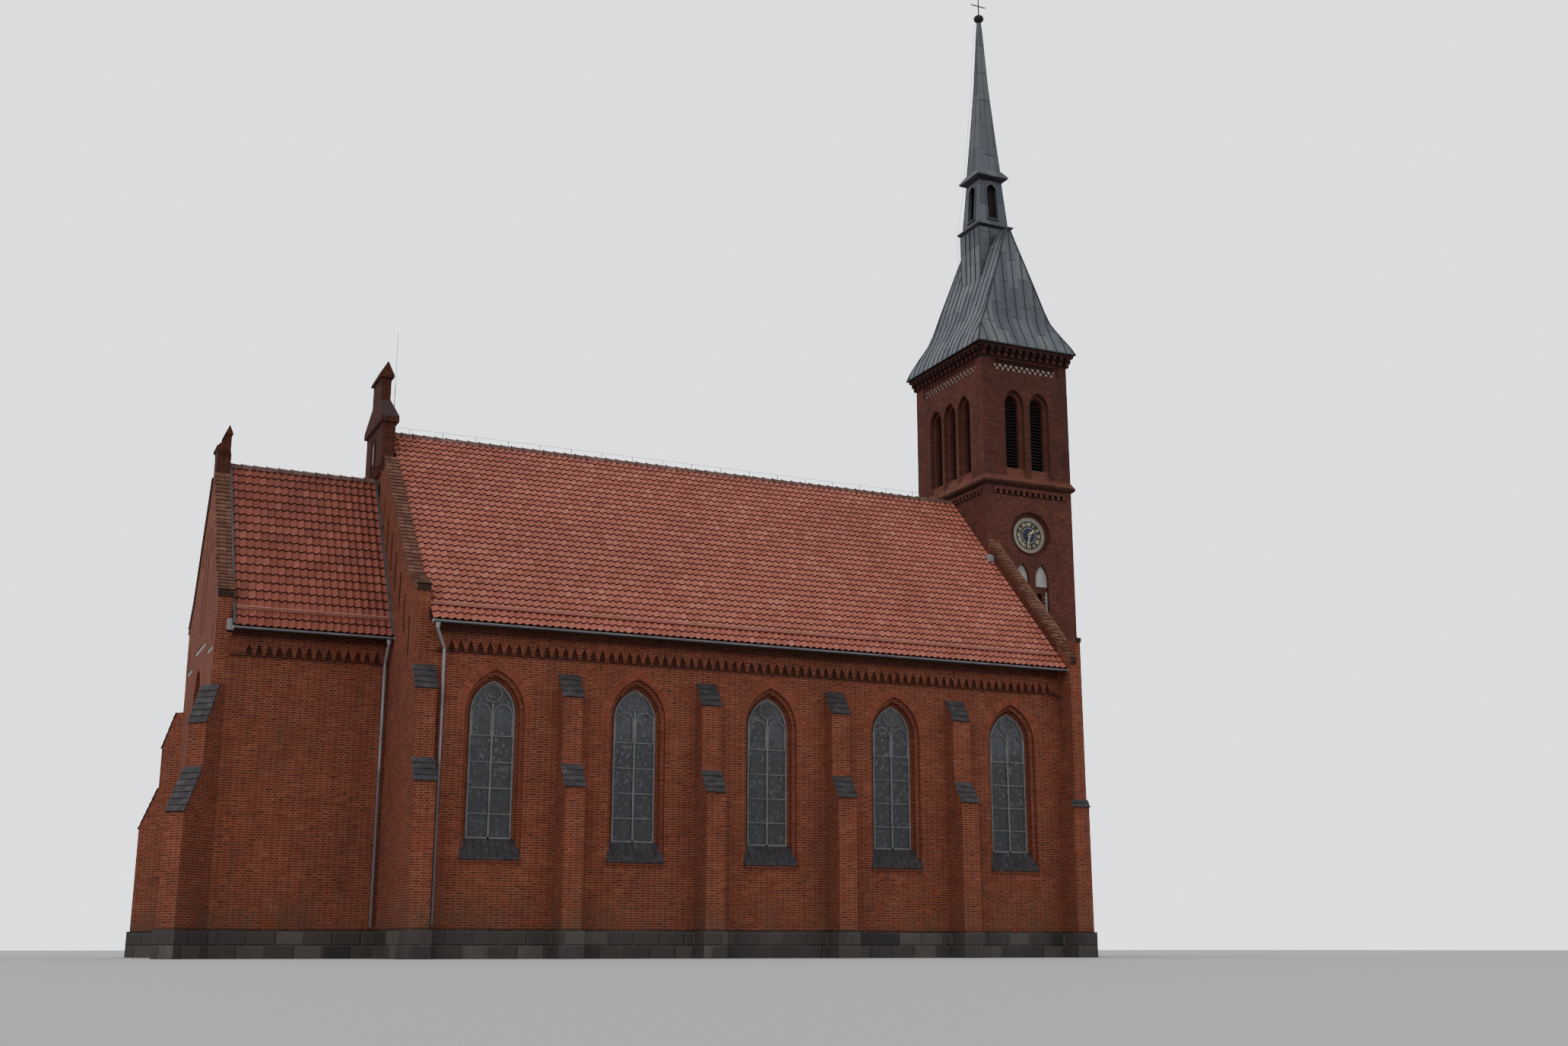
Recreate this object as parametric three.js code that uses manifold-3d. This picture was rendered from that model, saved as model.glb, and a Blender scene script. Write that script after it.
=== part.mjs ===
// A brick church with a pantile roof and a slender tower, as a 1:2 scale model.
// Every size below is the real building's, in millimetres: +X runs west along the nave to the tower,
// +Y north, +Z up, and the origin lies under the middle of the building at its lowest ground.
import * as THREE from 'three';
import { mergeVertices } from 'three/addons/utils/BufferGeometryUtils.js';
import Module from 'manifold-3d';

const wasm = await Module();
wasm.setup();

const modelScale = 0.5;
const seam = 0.7; // gap between pieces that touch
const reach = 60; // how far a cutter runs past the face that it cuts

const plinth = { top: 850, proud: 70, floorThick: 200, ledge: 250, rim: 300 };

const nave = {
  east: -10890, west: 12870, half: 7140, wall: 770, parapet: 400,
  eaveOut: 7650, eaveZ: 10010, ridgeZ: 17950, roofThick: 300, tileThick: 120,
  copingAbove: 110, kneelerRun: 970, kneelerFall: 550,
};
const chancel = {
  east: -16290, west: -10890, half: 3700, wall: 640, parapet: 450,
  eaveOut: 4150, eaveZ: 9970, ridgeZ: 16150, roofThick: 300, tileThick: 120,
  copingAbove: 80, kneelerRun: 750, kneelerFall: 760,
};
const kneeler = { corbelBottom: 9120, corbelTop: 9680, out: 120 };
const coping = { thick: 170, overhang: 30 };

// The rolls of the pantiles, one for each column of tiles. Starts and ends are shares of a tile's width.
const tileRoll = {
  width: 238, foot: 0.46, rise: 0.74, fall: 0.90, end: 1.10, high: 50, sunk: 10, fromEave: 4, fromRidge: 172,
};

// The nave's west wall rises beside the tower as a sloping shoulder, with a flat-topped pier behind its end.
const shoulder = { parapet: 460, head: 220, above: 650, foot: 7200, pierOut: 810, pierFoot: 5350 };

const bay = { first: -8280, pitch: 4660, count: 5 };
const archedWindow = {
  glass: 1420, spring: 7360, rise: 1000, sillInner: 3530, sillOuter: 2900,
  recess: 1900, recessRise: 1320, recessDepth: 130,
  step: 1660, stepRise: 1160, glassDepth: 350, pane: 60, sillProud: 40, sillThick: 90,
};
const eastWindow = { lift: 510 };

const buttress = {
  width: 650, low: 950, high: 500,
  lowTop: 5100, highFoot: 5800, highTop: 7900, wallFoot: 8650,
};
const diagonal = {
  width: 650, low: 1170, high: 490, back: 500,
  lowTop: 4240, highFoot: 5600, highTop: 6950, wallFoot: 8150,
};

const frieze = { bottom: 9130, proud: 62, pitch: 305, opening: 175, spring: 9300, apex: 9500, margin: 130 };
const cornice = { bottom: 9700, proud: 120, clear: 20 };

const slit = {
  width: 130, depth: 100, height: 1280, bottom: 9040, outermost: 6290, pitch: 785, slope: 1.05, count: 7,
};
const gableNiche = { width: 1500, depth: 100, bottom: 14300, spring: 15900, rise: 1000 };

// Recesses in the chancel's gable, the same on both sides of its middle: from and to are distances from it.
const chancelRecess = {
  depth: 100,
  openings: [
    { from: 330, to: 450, bottom: 10300, top: 13900 },
    { from: 1140, to: 1260, bottom: 12760, top: 13380 },
    { from: 2840, to: 2960, bottom: 9740, top: 10290 },
    { from: 1930, to: 3340, bottom: 9340, top: 9480 },
  ],
  middleBand: { half: 1350, bottom: 9740, top: 9880 },
};

// Rings of a pinnacle from its foot up: height, east face, west face and half width from north to south.
const navePinnacle = {
  rings: [
    [16350, -10890, -10600, 1330], [16500, -11040, -10600, 1330], [17950, -11040, -10600, 1330],
    [17980, -11140, -10500, 1400], [18200, -11140, -10500, 1400], [18970, -11040, -10700, 700],
    [19850, -11040, -10700, 700],
  ],
  cap: { east: -11120, west: -10620, half: 800, foot: 19780, eave: 19860, ridge: 20370 },
};
const chancelPinnacle = {
  rings: [
    [15600, -16290, -15840, 360], [16400, -16290, -15840, 360], [16550, -16290, -15880, 450],
    [16600, -16350, -15880, 450], [16660, -16350, -15880, 450], [16800, -16220, -15880, 450],
    [16980, -16090, -15880, 450], [17160, -16030, -15880, 450],
  ],
  cap: { east: -16110, west: -15850, half: 510, foot: 17090, eave: 17140, ridge: 17440 },
};

const tower = {
  east: 12410, west: 16410, half: 2700, wall: 900, shaftTop: 18115, eave: 24000,
  belfryWall: 640,
};
const towerX = (tower.east + tower.west) / 2;
const stringCourse = { corbelTop: 18220, lipTop: 18320, top: 18550, proud: 130 };
const lancet = {
  opening: 630, recess: 930, recessDepth: 180, bottom: 18950, spring: 21600, rise: 450, recessRise: 600,
  sillOuter: 18560, southPitch: 1180, eastPitch: 1130,
};
const louvre = { thick: 60, bottom: 18700, top: 22300 };
const belfryFloorThick = 200;
const towerCornice = [
  { bottom: 23480, proud: 60 }, { bottom: 23680, proud: 150 }, { bottom: 23850, proud: 230 },
];
const latticePanel = { bottom: 22980, top: 23400, depth: 60, marginX: 400, marginY: 600 };

const clock = {
  x: 14410, z: 16230, recess: 920, recessDepth: 180, dial: 725, face: 30, ring: 20, ringWidth: 70,
  arbor: 39, arborLength: 125, hubHole: 41, hub: 75, handGap: 14, hour: 1, minute: 32,
};
const hand = {
  thick: 12, neck: 0.7, shoulder: 0.72, tail: 0.28,
  hourLength: 360, hourWidth: 70, minuteLength: 540, minuteWidth: 56,
};
const blindNiche = {
  centres: [13960, 14860], width: 590, depth: 120, bottom: 12800, spring: 14450, rise: 600,
};
const slitWindow = { x: 14800, width: 200, bottom: 13200, spring: 13800, rise: 120 };

const chancelArch = { width: 5000, spring: 5000, rise: 3200 };
const towerArch = { width: 1900, spring: 3300, rise: 1200 };
const westDoor = {
  width: 1500, spring: 2900, rise: 1150, recess: 2000, recessRise: 1500, recessDepth: 350,
  leaf: 90, leafBack: 40,
};
const steps = { count: 3, tread: 320, rise: 183, width: 2600 };

// Height, half width from east to west, and half width from north to south.
const roofSection = [
  [24000, 2312, 2990], [24400, 2174, 2793], [24800, 1981, 2562], [25200, 1766, 2364], [25500, 1593, 2258],
  [26000, 1378, 2196], [27000, 1040, 2078], [28000, 680, 1969], [29000, 332, 1834], [29700, 45, 1810],
];
const roofShell = 180;
const shaft = { half: 770, foot: 26100, top: 30200, collar: 880, collarThick: 130, collarEdge: 30, lid: 120 };
const lantern = {
  foot: 690, head: 540, top: 32350, wall: 110, roof: 120,
  opening: 480, bottom: 30560, spring: 31850, rise: 330, coreFoot: 400, coreHead: 360,
};
const upperCollar = { half: 770, thick: 140, edge: 60 };
const spire = [[32900, 520], [34350, 409], [37000, 225], [39700, 95], [40170, 60]];
const finial = {
  ball: 228, ballHigh: 190, ballZ: 40370, rod: 28, top: 41500, armZ: 41000, arm: 370, bar: 44,
};

const gutter = { radius: 75, thick: 8, drop: 50, facets: 8 };
const downpipe = {
  radius: 50, neckDrop: 150, neckLand: 700, offWall: 70, foot: 950, fromEnd: 150, fromPier: 250,
};
const ridgeCap = { half: 170, edge: 70, crown: 70, rise: 80 };

const colours = {
  brick: 0x8c4a38, towerBrick: 0x7c4132, fieldstone: 0x5d5f63, coping: 0x8a6f5c, tile: 0xb5654f,
  ridge: 0x9c5545, sheet: 0x6a7075, zinc: 0x9aa1a6, glass: 0x4a5356, board: 0x3a3029, floor: 0x8f8a83,
  dial: 0x2b2c30, gold: 0xc9a44c, door: 0x4c3325, iron: 0x2c2c2e, step: 0x8d8c88,
};

function finish(color, roughness = 0.9, metalness = 0) {
  return new THREE.MeshStandardMaterial({ color, roughness, metalness, flatShading: true });
}

// Solids

function signedVolume(positions, triangles) {
  let volume = 0;
  const corner = (i) => new THREE.Vector3(positions[3 * i], positions[3 * i + 1], positions[3 * i + 2]);
  for (let t = 0; t < triangles.length; t += 3) {
    const a = corner(triangles[t]);
    volume += a.dot(corner(triangles[t + 1]).cross(corner(triangles[t + 2])));
  }
  return volume / 6;
}

// A closed geometry as a solid, without the slivers that a lathe leaves on its axis.
function solid(geometry) {
  geometry.deleteAttribute('normal');
  geometry.deleteAttribute('uv');
  const merged = mergeVertices(geometry, 0.01);
  const positions = new Float32Array(merged.attributes.position.array);
  const triangles = [];
  for (let t = 0; t < merged.index.count; t += 3) {
    const [a, b, c] = [0, 1, 2].map((k) => merged.index.getX(t + k));
    if (a !== b && b !== c && c !== a) triangles.push(a, b, c);
  }
  if (signedVolume(positions, triangles) < 0) triangles.reverse();
  const mesh = new wasm.Mesh({
    numProp: 3, vertProperties: positions, triVerts: new Uint32Array(triangles),
  });
  return new wasm.Manifold(mesh);
}

function join(...parts) {
  return parts.flat().reduce((whole, part) => whole.add(part));
}

function cut(body, ...cutters) {
  return cutters.flat().reduce((whole, cutter) => whole.subtract(cutter), body);
}

// An outline pushed along an axis: drawn in (y, z) for x, in (x, z) for y and in (x, y) for z.
function prismGeometry(axis, outline, from, to) {
  const shape = new THREE.Shape(outline.map(([u, v]) => new THREE.Vector2(u, v)));
  const geometry = new THREE.ExtrudeGeometry(shape, { depth: to - from, bevelEnabled: false });
  const x = new THREE.Vector3(1, 0, 0);
  const y = new THREE.Vector3(0, 1, 0);
  const z = new THREE.Vector3(0, 0, 1);
  const turn = new THREE.Matrix4();
  if (axis === 'x') turn.makeBasis(y, z, x).setPosition(from, 0, 0);
  if (axis === 'y') turn.makeBasis(x, z, y.clone().negate()).setPosition(0, to, 0);
  if (axis === 'z') turn.setPosition(0, 0, from);
  return geometry.applyMatrix4(turn);
}

function prism(axis, outline, from, to) {
  return solid(prismGeometry(axis, outline, from, to));
}

function rectangle(u0, u1, v0, v1) {
  return [[u0, v0], [u1, v0], [u1, v1], [u0, v1]];
}

function block(x0, x1, y0, y1, z0, z1) {
  return prism('z', rectangle(x0, x1, y0, y1), z0, z1);
}

// A two-centred pointed arch on straight jambs.
function pointedArch(centre, width, bottom, spring, rise, segments = 6) {
  const half = width / 2;
  const radius = (half * half + rise * rise) / (2 * half);
  const sweep = Math.atan2(rise, radius - half);
  const right = [];
  for (let i = 0; i <= segments; i += 1) {
    const angle = (sweep * i) / segments;
    right.push([half - radius + radius * Math.cos(angle), spring + radius * Math.sin(angle)]);
  }
  const left = right.slice(0, -1).reverse().map(([u, v]) => [-u, v]);
  return [[-half, bottom], [half, bottom], ...right, ...left].map(([u, v]) => [centre + u, v]);
}

// Rectangular rings, each [height, east end, west end, half width along y], joined from foot to top.
function ringStack(levels) {
  const positions = [];
  const index = [];
  for (const [z, x0, x1, half] of levels) {
    positions.push(x0, -half, z, x1, -half, z, x1, half, z, x0, half, z);
  }
  for (let k = 0; k + 1 < levels.length; k += 1) {
    for (let i = 0; i < 4; i += 1) {
      const a = 4 * k + i;
      const b = 4 * k + ((i + 1) % 4);
      index.push(a, b, b + 4, a, b + 4, a + 4);
    }
  }
  const top = 4 * (levels.length - 1);
  index.push(0, 2, 1, 0, 3, 2, top, top + 1, top + 2, top, top + 2, top + 3);
  const geometry = new THREE.BufferGeometry();
  geometry.setAttribute('position', new THREE.Float32BufferAttribute(positions, 3));
  geometry.setIndex(index);
  return solid(geometry);
}

// The same round the tower's axis: each ring is [height, half width along x, half width along y].
function towerRings(levels) {
  return ringStack(levels.map(([z, halfX, halfY]) => [z, towerX - halfX, towerX + halfX, halfY]));
}

function squareRings(levels) {
  return towerRings(levels.map(([z, half]) => [z, half, half]));
}

// Meshes

const church = new THREE.Group();
church.scale.setScalar(modelScale);

function geometryOf(body) {
  const { vertProperties, triVerts } = body.getMesh();
  const geometry = new THREE.BufferGeometry();
  geometry.setAttribute('position', new THREE.BufferAttribute(vertProperties, 3));
  geometry.setIndex(new THREE.BufferAttribute(triVerts, 1));
  return geometry;
}

function addGeometry(name, geometry, material) {
  const mesh = new THREE.Mesh(geometry, material);
  mesh.name = name;
  church.add(mesh);
}

function add(name, body, material) {
  addGeometry(name, geometryOf(body), material);
}

// The same piece on the other side of the long axis.
function mirrored(body) {
  const geometry = geometryOf(body);
  geometry.scale(1, -1, 1);
  geometry.index.array.reverse();
  return geometry;
}

function addPair(name, body, material) {
  add(`${name}_south`, body, material);
  addGeometry(`${name}_north`, mirrored(body), material);
}

// Roof planes

function slopeOf(part) {
  return (part.ridgeZ - part.eaveZ) / part.eaveOut;
}

function tileTop(part, y) {
  return part.ridgeZ - slopeOf(part) * Math.abs(y);
}

function underRoof(part, y) {
  return tileTop(part, y) - part.roofThick - seam;
}

// The wall under a roof slope, from its foot to the roof's underside, as [y, z].
function underSlope(part, inner) {
  return [
    [-inner, plinth.top + seam], [-part.half, plinth.top + seam],
    [-part.half, underRoof(part, part.half)], [-inner, underRoof(part, inner)],
  ];
}

function corniceOut(part) {
  return part.half + cornice.proud;
}

function roofSlope(part, from, to) {
  const y = corniceOut(part) + cornice.clear;
  const outline = [
    [-part.eaveOut, part.eaveZ], [-part.eaveOut, part.eaveZ - part.tileThick],
    [-y, tileTop(part, y) - part.tileThick], [-y, tileTop(part, y) - part.roofThick],
    [-seam / 2, tileTop(part, 0) - part.roofThick], [-seam / 2, tileTop(part, 0)],
  ];
  return join(prism('x', outline, from + seam, to - seam), tileRolls(part, from, to));
}

// The rolls lie flat along y while they are drawn, then turn up onto the south slope.
function tileRolls(part, from, to) {
  const r = tileRoll;
  const count = Math.round((to - from) / r.width);
  const width = (to - from) / count;
  const outline = [[from + seam, -r.sunk], [from + seam, 0]];
  for (let i = 0; i < count; i += 1) {
    const x = from + i * width;
    outline.push([x + r.foot * width, 0], [x + r.rise * width, r.high], [x + r.fall * width, r.high]);
    if (i + 1 < count) outline.push([x + r.end * width, 0]);
  }
  outline.push([to - seam, 0], [to - seam, -r.sunk]);
  const angle = Math.atan(slopeOf(part));
  const length = (part.eaveOut - r.fromRidge) / Math.cos(angle);
  return prism('y', outline, r.fromEave, length)
    .rotate([THREE.MathUtils.radToDeg(angle), 0, 0])
    .translate([0, -part.eaveOut, part.eaveZ]);
}

function ridgeTiles(part, from, to) {
  const { half, edge, crown, rise } = ridgeCap;
  const foot = tileTop(part, half) + seam;
  const outline = [
    [-half, foot], [0, part.ridgeZ + seam], [half, foot], [half, foot + edge],
    [crown, part.ridgeZ + rise], [-crown, part.ridgeZ + rise], [-half, foot + edge],
  ];
  return prism('x', outline, from + seam, to - seam);
}

// Side walls

function weatheredPier(size, foot, axisOut) {
  return [
    [-axisOut, foot], [size.low, foot], [size.low, size.lowTop], [size.high, size.highFoot],
    [size.high, size.highTop], [0, size.wallFoot], [-axisOut, size.wallFoot],
  ];
}

// A buttress on the nave's south side from x to x + its width.
function buttressFrom(x) {
  const outline = weatheredPier(buttress, plinth.top + seam, nave.wall / 2)
    .map(([out, z]) => [-nave.half - out, z]);
  return prism('x', outline, x, x + buttress.width);
}

// The frieze of little pointed arches, which keeps one rhythm along the whole building.
function archedBand(part, from, to) {
  const { bottom, proud, pitch, opening, spring, apex, margin } = frieze;
  const half = opening / 2;
  const lower = [[from, bottom]];
  for (let i = Math.ceil((from + margin) / pitch); i * pitch <= to - margin; i += 1) {
    const x = i * pitch;
    lower.push([x - half, bottom], [x - half, spring], [x, apex], [x + half, spring], [x + half, bottom]);
  }
  lower.push([to, bottom]);
  const outline = [...lower, [to, cornice.bottom + reach], [from, cornice.bottom + reach]];
  return prism('y', outline, -part.half - proud, -part.half + reach);
}

function corniceBand(part, from, to) {
  const out = corniceOut(part);
  const back = part.half - reach;
  const outline = [
    [-out, cornice.bottom], [-out, underRoof(part, out)],
    [-back, underRoof(part, back)], [-back, cornice.bottom],
  ];
  return prism('x', outline, from, to);
}

function eaveBands(part, from, to) {
  return join(archedBand(part, from, to), corniceBand(part, from, to));
}

function sideWall(part, from, to) {
  return join(prism('x', underSlope(part, part.half - part.wall), from, to), eaveBands(part, from, to));
}

// The recess, the stepped reveal and the way through of a pointed window on a wall that faces south.
function windowCutters(x, face, wall, lift = 0) {
  const w = archedWindow;
  const foot = w.sillOuter + lift;
  const spring = w.spring + lift;
  const recess = pointedArch(x, w.recess, foot, spring, w.recessRise);
  const step = pointedArch(x, w.step, foot, spring, w.stepRise);
  const through = pointedArch(x, w.glass, w.sillInner + lift, spring, w.rise);
  return [
    prism('y', recess, face - reach, face + w.recessDepth),
    prism('y', step, face - reach, face + w.glassDepth),
    prism('y', through, face - reach, face + wall + reach),
  ];
}

function windowSill(x, face, lift = 0) {
  const w = archedWindow;
  const foot = w.sillOuter + lift - w.sillThick;
  const outline = [
    [face - w.sillProud, foot], [face + w.glassDepth + reach, foot],
    [face + w.glassDepth + reach, w.sillInner + lift], [face + w.glassDepth, w.sillInner + lift],
    [face - w.sillProud, w.sillOuter + lift],
  ];
  return prism('x', outline, x - w.recess / 2, x + w.recess / 2);
}

function windowPane(x, face, lift = 0) {
  const w = archedWindow;
  const foot = w.sillInner + lift + seam;
  const outline = pointedArch(x, w.glass - 2 * seam, foot, w.spring + lift, w.rise - seam);
  return prism('y', outline, face + w.glassDepth, face + w.glassDepth + w.pane);
}

function windowCentres() {
  return Array.from({ length: bay.count }, (_, i) => bay.first + i * bay.pitch);
}

function naveSideWall() {
  const from = nave.east + nave.wall + seam;
  const to = nave.west - nave.wall - seam;
  let wall = sideWall(nave, from, to);
  for (const x of windowCentres()) {
    wall = cut(wall, windowCutters(x, -nave.half, nave.wall));
    wall = join(wall, windowSill(x, -nave.half));
  }
  const piers = windowCentres().slice(1).map((x) => buttressFrom(x - (bay.pitch + buttress.width) / 2));
  return join(wall, piers);
}

// Gables

function copingTop(part, y) {
  return tileTop(part, y) + part.copingAbove;
}

// Where a coping turns flatter and where it ends, as [distance from the middle, height].
function kneelerPoints(part) {
  const bend = part.half - part.kneelerRun;
  const high = copingTop(part, bend);
  return { bend: [bend, high], end: [part.half + kneeler.out, high - part.kneelerFall] };
}

// Half of a gable: the parapet that carries the coping, and the thicker wall behind it under the roof.
function gableHalf(part) {
  const { bend, end } = kneelerPoints(part);
  const inner = -reach;
  const drop = coping.thick + seam;
  const parapet = [
    [-inner, plinth.top + seam], [-part.half, plinth.top + seam], [-part.half, kneeler.corbelBottom],
    [-end[0], kneeler.corbelTop], [-end[0], end[1] - drop], [-bend[0], bend[1] - drop],
    [-inner, copingTop(part, inner) - drop],
  ];
  return join(
    prism('x', parapet, part.east, part.east + part.parapet),
    prism('x', underSlope(part, inner), part.east, part.east + part.wall),
    eaveBands(part, part.east + part.parapet, part.east + part.wall),
  );
}

function bothHalves(half) {
  return join(half, solid(mirrored(half)));
}

// A coping of even thickness, given its upper edge from the eave to the top.
function copingAlong(upper, from, to) {
  const lower = upper.map(([y, z]) => [y, z - coping.thick]).reverse();
  return prism('x', [...upper, ...lower], from, to);
}

function eastCoping(part, inner) {
  const { bend, end } = kneelerPoints(part);
  const upper = [[-end[0] - coping.overhang, end[1]], [-bend[0], bend[1]], [-inner, copingTop(part, inner)]];
  return copingAlong(upper, part.east - coping.overhang, part.east + part.parapet);
}

function slitCutters(size, face) {
  const cutters = [];
  for (let i = 0; i < size.count; i += 1) {
    const y = -size.outermost + i * size.pitch;
    const z = size.bottom + i * size.pitch * size.slope;
    const outline = rectangle(y - size.width / 2, y + size.width / 2, z, z + size.height);
    cutters.push(prism('x', outline, face - reach, face + size.depth));
  }
  return cutters;
}

// A pinnacle of stacked rings under a little saddle cap whose ridge runs north and south.
function pinnacle({ rings, cap }) {
  const middle = (cap.east + cap.west) / 2;
  const gablet = [
    [cap.east, cap.foot], [cap.west, cap.foot], [cap.west, cap.eave], [middle, cap.ridge],
    [cap.east, cap.eave],
  ];
  return join(ringStack(rings), prism('y', gablet, -cap.half, cap.half));
}

function naveEastGable() {
  const x0 = nave.east;
  const half = cut(join(gableHalf(nave), buttressFrom(x0)), slitCutters(slit, x0));
  const a = chancelArch;
  const arch = pointedArch(0, a.width, plinth.top - reach, a.spring, a.rise, 10);
  const n = gableNiche;
  const niche = pointedArch(0, n.width, n.bottom, n.spring, n.rise);
  const gable = cut(
    bothHalves(half),
    prism('x', arch, x0 - reach, x0 + nave.wall + reach),
    prism('x', niche, x0 - reach, x0 + n.depth),
  );
  return join(gable, pinnacle(navePinnacle));
}

// The shoulder's slope from a distance in front of the long axis up to the tower.
function shoulderSlope(end) {
  const inner = tower.half + seam;
  return [end, inner].map((y) => [-y, tileTop(nave, y) + shoulder.above]);
}

// The same slope where it turns flat on the pier's head.
function shoulderHead(end) {
  const [bend, top] = shoulderSlope(shoulder.foot);
  return [[-end, bend[1]], bend, top];
}

function shoulderCoping() {
  const end = nave.half + shoulder.pierOut + coping.overhang;
  const step = nave.west - shoulder.head;
  return join(
    copingAlong(shoulderSlope(end), nave.west - shoulder.parapet, step),
    copingAlong(shoulderHead(end), step, nave.west + coping.overhang),
  );
}

function naveWestShoulder() {
  const { parapet, head, pierOut, pierFoot } = shoulder;
  const x1 = nave.west;
  const foot = plinth.top + seam;
  const drop = coping.thick + seam;
  const out = nave.half + pierOut;
  const wallUnder = (edge) => [
    [edge.at(-1)[0], foot], [edge[0][0], foot], ...edge.map(([y, z]) => [y, z - drop]),
  ];
  const low = [
    [-nave.half, foot], [-nave.half - buttress.low, foot], [-nave.half - buttress.low, buttress.lowTop],
    [-out, pierFoot], [-nave.half, pierFoot],
  ];
  return join(
    prism('x', wallUnder(shoulderSlope(out)), x1 - parapet, x1),
    prism('x', wallUnder(shoulderHead(out)), x1 - head + seam, x1),
    prism('x', low, x1 - buttress.width, x1),
    prism('x', underSlope(nave, tower.half + seam), x1 - nave.wall, x1),
    eaveBands(nave, x1 - nave.wall, x1 - parapet),
  );
}

function diagonalButtress() {
  const outline = weatheredPier(diagonal, plinth.top + seam, diagonal.back);
  const geometry = prismGeometry('y', outline, -diagonal.width / 2, diagonal.width / 2);
  geometry.rotateZ((-3 * Math.PI) / 4);
  geometry.translate(chancel.east, -chancel.half, 0);
  return solid(geometry);
}

// A window of the south wall turned to face east, with its centre on the long axis.
function turnedEast(body) {
  const geometry = geometryOf(body);
  geometry.rotateZ(-Math.PI / 2);
  return solid(geometry);
}

function chancelRecessCutters(face) {
  const { depth, openings, middleBand } = chancelRecess;
  const outlines = openings.map(({ from, to, bottom, top }) => rectangle(-to, -from, bottom, top));
  outlines.push(rectangle(-middleBand.half, reach, middleBand.bottom, middleBand.top));
  return outlines.map((outline) => prism('x', outline, face - reach, face + depth));
}

function chancelEastGable() {
  const x0 = chancel.east;
  const half = cut(join(gableHalf(chancel), diagonalButtress()), chancelRecessCutters(x0));
  const gable = cut(
    bothHalves(half),
    windowCutters(0, x0, chancel.wall, eastWindow.lift).map(turnedEast),
  );
  return join(gable, turnedEast(windowSill(0, x0, eastWindow.lift)), pinnacle(chancelPinnacle));
}

// Plinths and floors

function hollowPlinth(outer, x0, x1, half) {
  const { top, floorThick, ledge } = plinth;
  return cut(
    outer,
    block(x0, x1, -half, half, top - floorThick, top + reach),
    block(x0 + ledge, x1 - ledge, -half + ledge, half - ledge, -reach, top),
  );
}

function navePlinth() {
  const { top, proud } = plinth;
  const x0 = nave.east - proud;
  const x1 = nave.west + proud;
  const edge = nave.half + proud;
  const out = nave.half + buttress.low + proud;
  const wide = buttress.width / 2 + proud;
  const piers = windowCentres().slice(1).map((x) => x - bay.pitch / 2);
  const feet = piers.map((x) => block(x - wide, x + wide, -out, out, 0, top));
  feet.push(block(x0, x0 + buttress.width + 2 * proud, -out, out, 0, top));
  feet.push(block(x1 - buttress.width - 2 * proud, x1, -out, out, 0, top));
  const outer = join(block(x0, x1, -edge, edge, 0, top), feet);
  const notch = tower.half + proud + seam;
  return cut(
    hollowPlinth(outer, nave.east + nave.wall, nave.west - nave.wall, nave.half - nave.wall),
    block(tower.east - seam, x1 + reach, -notch, notch, -reach, top + reach),
  );
}

function diagonalFoot() {
  const { top, proud } = plinth;
  const half = diagonal.width / 2 + proud;
  const geometry = prismGeometry('z', rectangle(-diagonal.back, diagonal.low + proud, -half, half), 0, top);
  geometry.rotateZ((-3 * Math.PI) / 4);
  geometry.translate(chancel.east, -chancel.half, 0);
  return solid(geometry);
}

const chancelPlinthEnd = chancel.west - plinth.proud - seam;

function chancelPlinth() {
  const { top, proud, rim } = plinth;
  const x1 = chancelPlinthEnd;
  const edge = chancel.half + proud;
  const foot = diagonalFoot();
  const outer = join(block(chancel.east - proud, x1, -edge, edge, 0, top), foot, solid(mirrored(foot)));
  return hollowPlinth(outer, chancel.east + chancel.wall, x1 - rim, chancel.half - chancel.wall);
}

function towerPlinth() {
  const { top, proud } = plinth;
  const edge = tower.half + proud;
  const outer = block(tower.east, tower.west + proud, -edge, edge, 0, top);
  return hollowPlinth(outer, tower.east + tower.wall, tower.west - tower.wall, tower.half - tower.wall);
}

// A floor between walls whose outer faces lie at x0, at x1 and at half on each side.
function floorSlab(x0, x1, { half, wall }) {
  const { top, floorThick } = plinth;
  const inset = wall + seam;
  return block(x0 + inset, x1 - inset, -half + inset, half - inset, top - floorThick + seam, top);
}

// Tower

function towerSection(inset) {
  return rectangle(tower.east + inset, tower.west - inset, -tower.half + inset, tower.half - inset);
}

// The same openings on the south and the north face.
function throughSouthAndNorth(outline, from, to) {
  const cutter = prism('y', outline, from, to);
  return [cutter, solid(mirrored(cutter))];
}

function disc(x, z, radius, from, to, segments = 32) {
  const outline = [];
  for (let i = 0; i < segments; i += 1) {
    const angle = (2 * Math.PI * i) / segments;
    outline.push([x + radius * Math.cos(angle), z + radius * Math.sin(angle)]);
  }
  return prism('y', outline, from, to);
}

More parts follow.
